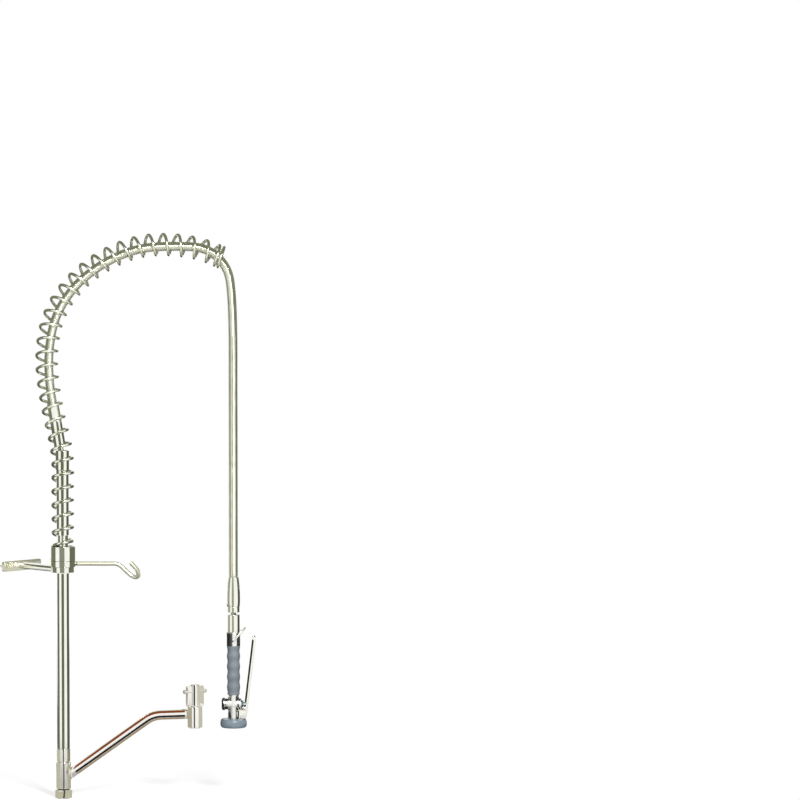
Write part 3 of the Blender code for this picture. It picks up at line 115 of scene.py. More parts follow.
def ramp(tree, factor, low, high, dark, light):
    """A colour that goes from one hex value to another as a factor passes between two limits."""
    node = add_node(tree, "ValToRGB", Fac=factor)
    for element, place, colour in zip(node.color_ramp.elements, (low, high), (dark, light)):
        element.position, element.color = place, linear(colour)
    return node.outputs["Color"]


def noise(tree, size_mm, stretch=(1, 1, 1), detail=3.0):
    """Noise in the object's own metres, whose blotches are about size_mm across."""
    place = add_node(tree, "TexCoord").outputs["Object"]
    moved = add_node(tree, "Mapping", Vector=place, Scale=stretch).outputs["Vector"]
    return add_node(tree, "TexNoise", Vector=moved, Scale=1.0 / (size_mm * MM), Detail=detail).outputs["Fac"]


def shade(tree, shader, roughness, bump=None, strength=0.1, depth_mm=0.05):
    """Vary a shader's roughness between two values by a factor, and raise a bump from another."""
    factor, low, high = roughness
    spread = add_node(tree, "MapRange", Value=factor, To_Min=low, To_Max=high)
    tree.links.new(spread.outputs["Result"], shader.inputs["Roughness"])
    if bump is not None:
        raised = add_node(tree, "Bump", Strength=strength, Distance=depth_mm * MM, Height=bump)
        tree.links.new(raised.outputs["Normal"], shader.inputs["Normal"])


print("helpers ready; mid grey is", tuple(round(c, 3) for c in linear("#808080")[:3]))

# %% [markdown]
# ## Polished stainless steel
# Chrome-nickel stainless is a warm, slightly yellow white metal. The tube is buffed on a wheel, so
# it is nearly a mirror, with faint rings round it from the buffing and the lightest smears. The
# rings of a real buff are about 0.05 mm apart; they are drawn a millimetre apart so that they show.

# %% Polished steels
def polished_stainless(name, dark, light, smooth, hazy):
    material, tree, shader = new_material(name)
    shader.inputs["Metallic"].default_value = 1.0
    smear = noise(tree, 24.0, detail=4.0)
    tree.links.new(ramp(tree, smear, 0.35, 0.65, dark, light), shader.inputs["Base Color"])
    buffing = noise(tree, 6.0, (1.0, 1.0, 6.0), 2.0)
    shade(tree, shader, (smear, smooth, hazy), buffing, 0.05, 0.02)
    return material


BUFFED_STEEL = polished_stainless("buffed_stainless_steel", "#f3f3e8", "#f9f9f1", 0.055, 0.11)
SPOUT_STEEL = polished_stainless("buffed_spout_stainless_steel", "#f0eee6", "#f8f6f0", 0.05, 0.10)
print("polished steels:", BUFFED_STEEL.name, SPOUT_STEEL.name)

# %% [markdown]
# ## Satin, drawn and corrugated steel
# The hook rod and the wall plate keep a satin grain from an abrasive belt. The spring is drawn
# wire, bright but with draw lines along it. The hose is a thin steel tube pressed into rings, which
# leaves its crests brighter than its grooves. All three are the same alloy with a rougher skin.

# %% Satin, drawn and corrugated steels
def satin_stainless():
    material, tree, shader = new_material("satin_stainless_steel")
    shader.inputs["Metallic"].default_value = 1.0
    grain = noise(tree, 3.0, (0.25, 4.0, 4.0), 4.0)
    tree.links.new(ramp(tree, grain, 0.3, 0.7, "#c6c5ae", "#dcdbc6"), shader.inputs["Base Color"])
    shade(tree, shader, (grain, 0.24, 0.36), grain, 0.25, 0.05)
    return material


def machined_steel():
    """Fine turning lines, left by the tool and not buffed out."""
    material, tree, shader = new_material("fine_turned_stainless_steel")
    shader.inputs["Metallic"].default_value = 1.0
    lines = noise(tree, 2.0, (1.0, 1.0, 6.0), 2.0)
    tree.links.new(ramp(tree, lines, 0.3, 0.7, "#e4e4dd", "#efefe9"), shader.inputs["Base Color"])
    shade(tree, shader, (lines, 0.24, 0.31), lines, 0.08, 0.02)
    return material


def painted_shade_channel_finish():
    """A dark steel for painted shade inside the lever's channel."""
    material, tree, shader = new_material("painted_shade_channel_steel")
    shader.inputs["Metallic"].default_value = 1.0
    skin = noise(tree, 5.0, detail=4.0)
    tree.links.new(ramp(tree, skin, 0.3, 0.7, "#2c2d2b", "#3a3b38"), shader.inputs["Base Color"])
    shade(tree, shader, (skin, 0.42, 0.55), skin, 0.1, 0.03)
    return material


def drawn_spring_wire():
    material, tree, shader = new_material("drawn_stainless_spring_wire")
    shader.inputs["Metallic"].default_value = 1.0
    scale = noise(tree, 9.0, detail=5.0)
    tree.links.new(ramp(tree, scale, 0.3, 0.7, "#dcdcca", "#f0f0e2"), shader.inputs["Base Color"])
    shade(tree, shader, (scale, 0.13, 0.24), noise(tree, 1.5), 0.12, 0.03)
    return material


def corrugated_hose_steel():
    material, tree, shader = new_material("corrugated_stainless_hose")
    shader.inputs["Metallic"].default_value = 1.0
    haze = noise(tree, 14.0, detail=4.0)
    tree.links.new(ramp(tree, haze, 0.3, 0.7, "#e6e6d6", "#f4f4e8"), shader.inputs["Base Color"])
    shade(tree, shader, (haze, 0.14, 0.24), noise(tree, 2.0), 0.1, 0.03)
    return material


SATIN_STEEL = satin_stainless()
TURNED_STEEL = machined_steel()
# The dark steel is painted shade for the inside of the lever's channel.
PAINTED_SHADE_CHANNEL_STEEL = painted_shade_channel_finish()
SPRING_WIRE_STEEL = drawn_spring_wire()
HOSE_STEEL = corrugated_hose_steel()
print("worked steels:", SATIN_STEEL.name, SPRING_WIRE_STEEL.name, HOSE_STEEL.name)

# %% [markdown]
# ## Rubber, plastic and brass
# The grip is a blue-grey rubber sleeve, matt from the mould's fine texture. The bumper round the
# spray face is the same colour but smoother, so it takes a soft highlight. The seals are a teal
# rubber, the spray face a black acetal, and the parts inside the tap plain machined brass.

# %% Rubber, plastic and brass
def moulded(name, dark, light, smooth, rough, grain_mm, strength, coat=0.0, specular=0.5):
    material, tree, shader = new_material(name)
    grain = noise(tree, grain_mm, detail=5.0)
    cloud = noise(tree, 18.0, detail=2.0)
    tree.links.new(ramp(tree, cloud, 0.3, 0.7, dark, light), shader.inputs["Base Color"])
    shader.inputs["Coat Weight"].default_value = coat
    shader.inputs["Coat Roughness"].default_value = 0.12
    shader.inputs["Specular IOR Level"].default_value = specular
    shade(tree, shader, (cloud, smooth, rough), grain, strength, 0.15)
    return material


def machined_brass():
    material, tree, shader = new_material("machined_brass")
    shader.inputs["Metallic"].default_value = 1.0
    turning = noise(tree, 3.0, (1.0, 1.0, 8.0))
    tree.links.new(ramp(tree, turning, 0.3, 0.7, "#c8a75c", "#dcc07c"), shader.inputs["Base Color"])
    shade(tree, shader, (turning, 0.22, 0.38), turning, 0.2, 0.05)
    return material


GRIP_RUBBER = moulded("moulded_grip_rubber", "#7e878d", "#899298", 0.48, 0.60, 0.9, 0.35, specular=0.2)
BUMPER_RUBBER = moulded("moulded_bumper_rubber", "#7c8995", "#85929d", 0.26, 0.36, 1.5, 0.12, 0.2, 0.3)
SEAL_RUBBER = moulded("teal_seal_rubber", "#3d666d", "#4a757c", 0.40, 0.52, 1.0, 0.2)
BLACK_ACETAL = moulded("black_acetal_plastic", "#1d1e1f", "#262729", 0.30, 0.42, 0.8, 0.2)
BRASS = machined_brass()

FINISH_OF_SLOT = {
    "polished_steel": BUFFED_STEEL, "satin_steel": SATIN_STEEL, "spring_steel": SPRING_WIRE_STEEL,
    "hose_steel": HOSE_STEEL, "spout_steel": SPOUT_STEEL, "grip_rubber": GRIP_RUBBER,
    "bumper_rubber": BUMPER_RUBBER, "seal_rubber": SEAL_RUBBER, "black_plastic": BLACK_ACETAL,
    "brass": BRASS}
SLOT_OF_NODE = {row["node"]: row["material_slot"] for row in frame["record"]["subparts"]}
BODY_OF_NODE = {node: body for body, nodes in frame["record"]["behaviour"]["bodies"].items() for node in nodes}
for node, piece in frame["nodes"].items():
    piece.data.materials.clear()
    piece.data.materials.append(FINISH_OF_SLOT[SLOT_OF_NODE[node]])
print("finishes:", len(FINISH_OF_SLOT), "on", len(frame["nodes"]), "frame nodes")

# %% [markdown]
# ## Making round pieces
# Most of the faucet came off a lathe, so most pieces are a profile spun round an axis. A lathe
# operator breaks every sharp corner, and that thin rounded edge is what catches the light, so each
# profile's corners are eased by a small arc before it is spun.

# %% Lathe helper
SPIN_STEPS = 72
EDGE = 0.4 * MM
GUARD = 1.25


def eased(profile, edge, closed, steps=3):
    """Round the corners of a profile by arcs of about one radius."""
    points = [Vector(p) for p in profile]
    count, result = len(points), []
    for i, corner in enumerate(points):
        if not closed and i in (0, count - 1):
            result.append(corner)
            continue
        back, on = points[i - 1] - corner, points[(i + 1) % count] - corner
        turn = math.pi - back.angle(on)
        if turn < math.radians(12.0):
            result.append(corner)
            continue
        reach = min(edge * math.tan(turn / 2), 0.45 * back.length, 0.45 * on.length)
        start, end = corner + back.normalized() * reach, corner + on.normalized() * reach
        guards = (corner.lerp(start, GUARD), corner.lerp(end, GUARD))
        result.append(guards[0])
        for k in range(steps + 1):
            t = k / steps
            result.append(start * (1 - t) ** 2 + corner * 2 * t * (1 - t) + end * t ** 2)
        result.append(guards[1])
    return result


def finish_mesh(name, bm, material, sharp=40.0):
    bmesh.ops.remove_doubles(bm, verts=bm.verts, dist=1e-6)
    bmesh.ops.recalc_face_normals(bm, faces=bm.faces)
    mesh = bpy.data.meshes.new(name)
    bm.to_mesh(mesh)
    bm.free()
    mesh.shade_smooth()
    mesh.set_sharp_from_angle(angle=math.radians(sharp))
    mesh.materials.append(material)
    piece = bpy.data.objects.new(name, mesh)
    bpy.context.scene.collection.objects.link(piece)
    return piece


def stand(piece, at, along=UP, across=None):
    """Turn a piece's own Z along a direction, put it at a point, and keep that in its mesh."""
    z = Vector(along).normalized()
    if across is None:
        turn = UP.rotation_difference(z).to_matrix()
    else:
        x = Vector(across).normalized()
        turn = Matrix((x, z.cross(x), z)).transposed()
    piece.data.transform(Matrix.Translation(Vector(at)) @ turn.to_4x4())
    return piece


def spun(name, profile, material, at=(0, 0, 0), along=UP, steps=SPIN_STEPS, edge=EDGE):
    """Spin a profile of (radius, height) points; one that starts and ends on the axis is solid."""
    closed = profile[0][0] > 0.0 or profile[-1][0] > 0.0
    points = eased(profile, edge, closed)
    bm = bmesh.new()
    verts = [bm.verts.new((p.x, 0.0, p.y)) for p in points]
    pairs = list(zip(verts, verts[1:])) + ([(verts[-1], verts[0])] if closed else [])
    edges = [bm.edges.new(pair) for pair in pairs]
    bmesh.ops.spin(bm, geom=verts + edges, cent=(0, 0, 0), axis=(0, 0, 1), angle=math.tau,
                   steps=steps, use_merge=True)
    return stand(finish_mesh(name, bm, material), at, along)


def stands_for(piece, *nodes):
    """Let a fine piece replace nodes of the frame, on their body."""
    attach(piece, BODY_OF_NODE[nodes[0]])
    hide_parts(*nodes)
    return piece


def turned(node, profile, at=(0, 0, 0), along=UP, steps=SPIN_STEPS, edge=EDGE, finish=None):
    """A fine turned piece in place of one node, in the node's finish or another."""
    piece = spun("fine_" + node, profile, finish or FINISH_OF_SLOT[SLOT_OF_NODE[node]], at, along, steps, edge)
    return stands_for(piece, node)


print("a corner of %.1f mm becomes %d points" % (EDGE / MM, 4))

# %% [markdown]
# ## Making bent pieces
# The hose, the spring, the hook, the ring and the spout are all a round section pushed along a
# line. The line is a natural cubic spline through a few chosen points, and the section is carried
# along it without twisting, so that ribs and highlights run straight.

# %% Curve and sweep helpers
class SmoothCurve:
    """A natural cubic spline through points, read by the distance along it."""

    def __init__(self, points):
        route = np.array([tuple(p) for p in points], float)
        span = np.linalg.norm(np.diff(route, axis=0), axis=1)
        chord = np.r_[0.0, np.cumsum(span)]
        count = len(route)
        system, right = np.zeros((count, count)), np.zeros((count, 3))
        system[0, 0] = system[-1, -1] = 1.0
        for i in range(1, count - 1):
            system[i, i - 1:i + 2] = span[i - 1], 2 * (span[i - 1] + span[i]), span[i]
            right[i] = 6 * ((route[i + 1] - route[i]) / span[i] - (route[i] - route[i - 1]) / span[i - 1])
        bend = np.linalg.solve(system, right)
        t = np.linspace(0.0, chord[-1], 6000)
        k = np.clip(np.searchsorted(chord, t) - 1, 0, count - 2)
        a, b, h = (chord[k + 1] - t)[:, None], (t - chord[k])[:, None], span[k][:, None]
        self.fine = (bend[k] * a ** 3 + bend[k + 1] * b ** 3) / (6 * h) \
            + (route[k] / h - bend[k] * h / 6) * a + (route[k + 1] / h - bend[k + 1] * h / 6) * b
        self.reach = np.r_[0.0, np.cumsum(np.linalg.norm(np.diff(self.fine, axis=0), axis=1))]
        self.length = self.reach[-1]

    def at(self, distance):
        return Vector([np.interp(distance, self.reach, self.fine[:, i]) for i in range(3)])

    def heading(self, distance):
        step = 0.5 * MM
        return (self.at(min(distance + step, self.length)) - self.at(max(distance - step, 0.0))).normalized()


def swept(name, points, radii, material, sides=16, ends=True):
    """A tube along points, its section carried on without twist; each end can be closed by a flat cap."""
    points = [Vector(p) for p in points]
    count = len(points)
    headings = [(points[min(i + 1, count - 1)] - points[max(i - 1, 0)]).normalized() for i in range(count)]
    side = headings[0].orthogonal().normalized()
    bm = bmesh.new()
    rings = []
    for i, (point, heading) in enumerate(zip(points, headings)):
        side = (side - heading * side.dot(heading)).normalized()
        other = heading.cross(side)
        rings.append([bm.verts.new(point + (side * math.cos(a) + other * math.sin(a)) * radii[i])
                      for a in (math.tau * k / sides for k in range(sides))])
    for low, high in zip(rings, rings[1:]):
        for k in range(sides):
            bm.faces.new((low[k], low[(k + 1) % sides], high[(k + 1) % sides], high[k]))
    if ends:
        bm.faces.new(rings[0])
        bm.faces.new(list(reversed(rings[-1])))
    return finish_mesh(name, bm, material, 50.0)


def with_rounded_ends(points, radius, round_by):
    """The points of a rod and its radii, drawn in near both ends so that the ends are eased."""
    first, last = Vector(points[0]), Vector(points[-1])
    a, b = (Vector(points[1]) - first).normalized(), (Vector(points[-2]) - last).normalized()
    steps = [(0.0, 1 - 1.0), (0.3, 1 - 0.29), (1.0, 1.0)]
    low = [(first + a * (round_by * t), radius - round_by * (1 - f)) for t, f in steps]
    high = [(last + b * (round_by * t), radius - round_by * (1 - f)) for t, f in reversed(steps)]
    middle = [(Vector(p), radius) for p in points[1:-1]]
    chain = low + middle + high
    return [p for p, _ in chain], [r for _, r in chain]


print("curve and sweep helpers ready")

# %% [markdown]
# ## The ribbed hose
# The hose carries the water from the ball joint on the riser over the arch to the handset. It is a
# free hose, so its line comes first: straight out of its ferrule, up inside the spring, over the
# crown, and down under its own weight. The photograph shows all of it, 1.2 m from end to end.

# %% Heights shared by the pieces, from the frame's sizes
RISER_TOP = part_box("riser_tube")[1].z
BALL = Vector((0.0, 0.0, RISER_TOP + GAP + 21.8 * MM))
HOSE_TILT = math.radians(9.6)
HOSE_AXIS = Vector((-math.sin(HOSE_TILT), 0.0, math.cos(HOSE_TILT)))
NECK_LENGTH, UPPER_FERRULE_LENGTH = 23.9 * MM, 91.0 * MM
HOSE_START = BALL + HOSE_AXIS * (NECK_LENGTH + UPPER_FERRULE_LENGTH + GAP)
HANDSET_X = 0.3406
HOSE_END_Z = RISER_TOP - 0.2135
CUP_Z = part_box("spring_cup")[0].z
print("ball joint at %.4f m, hose from %.4f m to %.4f m" % (BALL.z, HOSE_START.z, HOSE_END_Z))

# %% The hose's route, as the solid has it
HOSE_RADIUS = 9.5 * MM
PLAIN_END = 2.0 * HOSE_RADIUS
HOSE_ROUTE = [
    (-0.0252, 0.1620), (-0.0262, 0.1990), (-0.0226, 0.2385), (-0.0125, 0.2805), (0.0076, 0.3195),
    (0.0356, 0.3535), (0.0699, 0.3813), (0.1082, 0.4030), (0.1496, 0.4180), (0.1930, 0.4241),
    (0.2370, 0.4247), (0.2630, 0.4236), (0.2791, 0.4208), (0.2942, 0.4147), (0.3077, 0.4055),
    (0.3190, 0.3938), (0.3277, 0.3800), (0.3332, 0.3647), (0.3362, 0.3460), (0.3384, 0.3200),
    (0.3398, 0.2880)]
straight_start = [HOSE_START + HOSE_AXIS * (PLAIN_END * share) for share in (0.0, 0.5, 1.0)]
hanging_end = [Vector((HANDSET_X, 0.0, HOSE_END_Z + up)) for up in (0.400, 0.300, 0.200, 0.100, 0.020, 0.0)]
hose_line = SmoothCurve(straight_start + [BALL + Vector((x, 0.0, z)) for x, z in HOSE_ROUTE] + hanging_end)
print("hose line %.3f m" % hose_line.length)

# %% Ribs: rounded crests four millimetres apart, with narrow grooves
RIB_PITCH = 4.0 * MM
RIB_DEPTH = 1.3 * MM
RIB_SAMPLES = 8
BARE_END = 1.0 * MM
ribbed = hose_line.length - 2 * BARE_END
ribs = round(ribbed / RIB_PITCH)
distances, hose_radii = [0.0, BARE_END * 0.5], [HOSE_RADIUS - RIB_DEPTH] * 2
for step in range(ribs * RIB_SAMPLES + 1):
    crest = abs(math.sin(math.pi * step / RIB_SAMPLES))
    distances.append(BARE_END + ribbed * step / (ribs * RIB_SAMPLES))
    hose_radii.append(HOSE_RADIUS - RIB_DEPTH * (1 - crest))
distances += [hose_line.length - BARE_END * 0.5, hose_line.length]
hose_radii += [HOSE_RADIUS - RIB_DEPTH] * 2
hose_points = [hose_line.at(d) for d in distances]
hose = swept("ribbed_hose", hose_points, hose_radii, HOSE_STEEL, 22)
stands_for(hose, "hose")
print("hose: %d ribs" % ribs)

# %% [markdown]
# ## The arch spring
# The spring stands on the floor of its cup and holds the hose up. It is 6 mm wire in a 45 mm coil,
# closed for two turns at its foot and one at its tip. A helix is not enough, because its axis bends:
# each point is set off from the arch's line by a turning direction square to the line. The hose's
# weight also leans the open turns, so each one shows as a slanting ring and not as an edge.

# %% The spring's line and its wire
SPRING_RADIUS, SPRING_WIRE = 19.5 * MM, 3.0 * MM
SPRING_TURNS, CLOSED_LOW, CLOSED_HIGH = 35, 2.0, 1.0
COIL_SPREAD, COIL_SKEW = 1.0 * MM, 1.2 * MM
COIL_LEAN = [(0.0, 3.0 * MM), (0.5, 5.4 * MM), (0.85, 2.7 * MM), (1.0, 2.5 * MM)]
CLOSED_PITCH = (7.0 * MM, 7.7 * MM)
POINTS_PER_TURN = 40
ARCH_ROUTE = [
    (0.0000, -0.1450), (0.0000, -0.1010), (0.0000, -0.0570), (0.0004, -0.0140), (-0.0036, 0.0300),
    (-0.0130, 0.0725), (-0.0215, 0.1150), (-0.0280, 0.1585), (-0.0303, 0.2025), (-0.0262, 0.2460),
    (-0.0144, 0.2880), (0.0066, 0.3260), (0.0352, 0.3590), (0.0694, 0.3864), (0.1075, 0.4077),
    (0.1486, 0.4224), (0.1920, 0.4282), (0.2357, 0.4266), (0.2785, 0.4183), (0.3190, 0.4025)]
spring_foot = Vector((0.0, 0.0, CUP_Z + 6.0 * MM + GAP + SPRING_WIRE))
arch_line = SmoothCurve([spring_foot] + [BALL + Vector((x, 0.0, z)) for x, z in ARCH_ROUTE])


def open_share(turn):
    """0 in a closed turn, 1 in an open one."""
    return np.minimum(np.clip(turn - CLOSED_LOW, 0, 1), np.clip(SPRING_TURNS - CLOSED_HIGH - turn, 0, 1))


def coil_distances():
    """How far along the arch each point of the wire is: closed turns first and last."""
    turns = np.arange(SPRING_TURNS * POINTS_PER_TURN + 1) / POINTS_PER_TURN
    middle = turns[:-1] + 0.5 / POINTS_PER_TURN
    share = open_share(middle)
    closed = np.where(middle < SPRING_TURNS / 2, *CLOSED_PITCH)
    open_pitch = (arch_line.length - ((1 - share) * closed).sum() / POINTS_PER_TURN) / (share.sum() / POINTS_PER_TURN)
    return turns, np.r_[0.0, np.cumsum((share * open_pitch + (1 - share) * closed) / POINTS_PER_TURN)], open_pitch


turns, along, open_pitch = coil_distances()
wire_points = []
for turn, distance in zip(turns, along):
    angle, done = math.tau * turn, distance / arch_line.length
    heading = arch_line.heading(distance)
    out = BACK.cross(heading) * math.cos(angle) + BACK * math.sin(angle)
    lean = np.interp(done, *zip(*COIL_LEAN)) * math.sin(angle) + COIL_SKEW * math.cos(angle)
    radius = SPRING_RADIUS + COIL_SPREAD * min(2.0 * done, 1.0)
    wire_points.append(arch_line.at(distance) + out * radius - heading * lean * float(open_share(turn)))
wire_points, wire_radii = with_rounded_ends(wire_points, SPRING_WIRE, 0.5 * MM)
spring = swept("arch_coil_spring", wire_points, wire_radii, SPRING_WIRE_STEEL, 14)
stands_for(spring, "arch_spring")
print("spring: open pitch %.1f mm, arch %.3f m" % (open_pitch / MM, arch_line.length))

# %% [markdown]
# ## Nut, hub, sleeve and riser
# The foot is a union nut: a hexagon whose corners are cut back by a cone, which leaves the curved
# bevels that every nut has. It is made as the overlap of a hexagon and a spun cone. Above it the
# hub turns on the spigot, with rounded edges where the light breaks, then the sleeve and the riser.

# %% Foot of the column
HUB_Z, HUB_HEIGHT, HUB_RADIUS, HUB_BORE = 19.6 * MM, 53.0 * MM, 14.75 * MM, 9.5 * MM
SLEEVE_Z = HUB_Z + HUB_HEIGHT + GAP
RISER_Z = SLEEVE_Z + 26.7 * MM + GAP


def combined(piece, other, operation):
    """Apply one exact Boolean and drop the tool."""
    modifier = piece.modifiers.new(other.name, "BOOLEAN")
    modifier.operation, modifier.solver, modifier.object = operation, "EXACT", other
    graph = bpy.context.evaluated_depsgraph_get()
    mesh = bpy.data.meshes.new_from_object(piece.evaluated_get(graph))
    piece.modifiers.clear()
    piece.data = mesh
    bpy.data.objects.remove(other)
    mesh.shade_smooth()
    mesh.set_sharp_from_angle(angle=math.radians(30.0))
    return piece


nut_corner, nut_height = 17.0 * MM, 18.0 * MM
flat = nut_corner * math.cos(math.pi / 6)
bevel = nut_corner - flat
nut = spun("fine_base_nut", [(9.6 * MM, nut_height), (12 * MM, 14.6 * MM), (12 * MM, 0), (flat - bevel * 0.3, 0),
                             (flat + bevel, bevel * 0.75), (flat + bevel, nut_height - bevel * 0.75),
                             (flat - bevel * 0.3, nut_height)], BUFFED_STEEL, edge=0.3 * MM)
prism = spun("nut_prism", [(0, -1 * MM), (nut_corner, -1 * MM), (nut_corner, nut_height + MM), (0, nut_height + MM)],
             BUFFED_STEEL, steps=6, edge=0.0)
stands_for(combined(nut, prism, "INTERSECT"), "base_nut")

hub = spun("fine_spout_hub", [(HUB_BORE, 0), (HUB_RADIUS, 0), (HUB_RADIUS, HUB_HEIGHT), (HUB_BORE, HUB_HEIGHT)],
           BUFFED_STEEL, (0, 0, HUB_Z), edge=0.7 * MM)
stands_for(hub, "spout_hub")
turned("upper_sleeve", [(9.5 * MM, 0), (12.2 * MM, 0), (13.25 * MM, 2 * MM), (13.25 * MM, 26.7 * MM), (9.5 * MM, 26.7 * MM)],
       (0, 0, SLEEVE_Z))
riser_bore = 11.3 * MM
turned("riser_tube", [(riser_bore, RISER_Z), (12.5 * MM, RISER_Z), (12.5 * MM, RISER_TOP), (riser_bore, RISER_TOP)], edge=0.2 * MM)
print("column up to %.4f m" % RISER_TOP)

# %% [markdown]
# ## Wall bracket, hook ring and spring cup
# Three rings sit on the riser. The lowest carries a rod to a small wall plate with two cross-head
# screws; the middle one turns with the hook; the top one is the cup that the spring stands in.
# Their edges are all broken by the same small radius, so fine bright lines part them.

# %% Rings on the riser
CLAMP_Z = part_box("bracket_clamp_ring")[0].z
HOOK_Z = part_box("hook_ring")[0].z
RING_BORE = 12.8 * MM
clamp = turned("bracket_clamp_ring", [(RING_BORE, 0), (23.3 * MM, 0), (23.3 * MM, 11 * MM), (RING_BORE, 11 * MM)],
               (0, 0, CLAMP_Z), edge=0.7 * MM)
turned("hook_ring", [(RING_BORE, 0), (25.5 * MM, 0), (25.5 * MM, 11.7 * MM), (RING_BORE, 11.7 * MM)],
       (0, 0, HOOK_Z), edge=0.5 * MM)
turned("spring_cup", [(RING_BORE, 0), (25.5 * MM, 0), (25.5 * MM, 28.7 * MM), (22.9 * MM, 28.7 * MM),
                      (22.9 * MM, 6 * MM), (RING_BORE, 6 * MM)], (0, 0, CUP_Z), edge=0.9 * MM)

HOOK_ROUTE = [
    (0.0131, 0.0000, 0.0000), (0.0600, 0.0000, 0.0000), (0.0980, 0.0000, 0.0000), (0.1080, 0.0000, -0.0008),
    (0.1165, 0.0000, -0.0055), (0.1250, 0.0000, -0.0135), (0.1335, 0.0000, -0.0212),
    (0.1415, -0.0010, -0.0262), (0.1482, -0.0045, -0.0262), (0.1512, -0.0092, -0.0205),
    (0.1490, -0.0122, -0.0122), (0.1420, -0.0136, -0.0035), (0.1355, -0.0142, 0.0035)]
HOOK_ROD = 4.3 * MM
hook_line = SmoothCurve([Vector(p) + UP * (HOOK_Z + 5.85 * MM) for p in HOOK_ROUTE])
hook_points, hook_radii = with_rounded_ends(
    [hook_line.at(hook_line.length * i / 110) for i in range(111)], HOOK_ROD, 0.9 * MM)
stands_for(swept("fine_hook_rod", hook_points, hook_radii, SATIN_STEEL, 24), "hook_rod")
print("hook rod %.0f mm long" % (hook_line.length / MM))

# %% [markdown]
# ## The bracket rod and plate
# The plate is pressed from thick strip with rounded corners and a softened front edge. An outline
# is pushed out to its thickness, and a bevel on its rim gives the pressed look.

# %% Plate helpers and the bracket
def rounded_outline(corners, steps=6):
    """An outline whose corners, (x, y, radius), are rounded by arcs."""
    outline, count = [], len(corners)
    for i, (x, y, radius) in enumerate(corners):
        corner = Vector((x, y))
        if radius == 0.0:
            outline.append(corner)
            continue
        before = (Vector(corners[i - 1][:2]) - corner).normalized()
        after = (Vector(corners[(i + 1) % count][:2]) - corner).normalized()
        half = before.angle(after) / 2
        centre = corner + (before + after).normalized() * (radius / math.sin(half))
        start = corner + before * (radius / math.tan(half)) - centre
        sweep = start.angle_signed(corner + after * (radius / math.tan(half)) - centre)
        outline += [centre + Matrix.Rotation(-sweep * k / steps, 2) @ start for k in range(steps + 1)]
    return outline


def pushed_out(name, outline, low, high, material, at, along, across, bevel=0.0):
    """An outline pushed out between two heights, with a rounded rim where a bevel is given."""
    bm = bmesh.new()
    face = bm.faces.new([bm.verts.new((x, y, low)) for x, y in outline])
    moved = bmesh.ops.extrude_face_region(bm, geom=[face])["geom"]
    bmesh.ops.translate(bm, vec=(0, 0, high - low), verts=[v for v in moved if isinstance(v, bmesh.types.BMVert)])
    bmesh.ops.recalc_face_normals(bm, faces=bm.faces)
    if bevel:
        rim = [e for e in bm.edges if len(e.link_faces) == 2 and e.calc_face_angle() > math.radians(50.0)]
        bmesh.ops.bevel(bm, geom=rim, offset=bevel, segments=3, profile=0.5, affect="EDGES", clamp_overlap=True)
    if bm.calc_volume(signed=True) < 0.0:
        bmesh.ops.reverse_faces(bm, faces=bm.faces)
    return stand(finish_mesh(name, bm, material, 30.0), at, along, across)


BRACKET_OUT = Vector((-1, 1, 0)).normalized()
ACROSS = BRACKET_OUT.cross(UP)
BRACKET_REACH, PLATE_THICK = 128.0 * MM, 7.0 * MM
middle = UP * (CLAMP_Z + 5.5 * MM)
turned("bracket_rod", [(0, 0.0131), (4.5 * MM, 0.0131), (4.5 * MM, 0.027), (6.75 * MM, 0.028), (6.75 * MM, 0.1207),
                       (4.5 * MM, 0.1207), (4.5 * MM, 0.1265), (0, 0.1265)], middle, BRACKET_OUT, 40)
corner = 4.0 * MM
plate = pushed_out("fine_wall_plate", rounded_outline([(-0.05, -0.01, corner), (0.05, -0.01, corner),
                                                       (0.05, 0.01, corner), (-0.05, 0.01, corner)]),
                   BRACKET_REACH - PLATE_THICK, BRACKET_REACH, SATIN_STEEL, middle, BRACKET_OUT, -ACROSS, 0.9 * MM)
stands_for(plate, "wall_plate")
print("bracket reaches %.0f mm" % (BRACKET_REACH / MM))

# %% [markdown]
# ## Ball joint and upper ferrule
# The riser ends in a nut that traps a ball, so that the hose can tilt. Above it a long ferrule is
# pressed over the hose. Both show between the spring's turns, so they get their own edges.

# %% Hose joint at the riser's top
turned("riser_top_nut", [(8.4 * MM, 0), (13.5 * MM, 0), (13.5 * MM, 39.4 * MM), (10.2 * MM, 39.4 * MM), (8.4 * MM, 28 * MM)],
       (0, 0, RISER_TOP + GAP), edge=0.9 * MM)
turned("upper_ferrule", [(5.8 * MM, 0), (11.75 * MM, 0), (11.75 * MM, 85 * MM), (11.2 * MM, 88 * MM), (11.75 * MM, 89 * MM),
                         (10.6 * MM, 91 * MM), (5.8 * MM, 91 * MM)], BALL + HOSE_AXIS * NECK_LENGTH, HOSE_AXIS)
print("ferrule top at", [round(c, 4) for c in HOSE_START])

# %% [markdown]
# ## The handset's ferrule, neck and connector
# The hose ends in a swaged ferrule: a thin sleeve pressed down at its mouth and swelled where the
# hose's end is held, with a groove near its foot. Below a narrow neck, on which the handset turns,
# comes a plain turned connector, and then the darker collar that carries the hold ring.

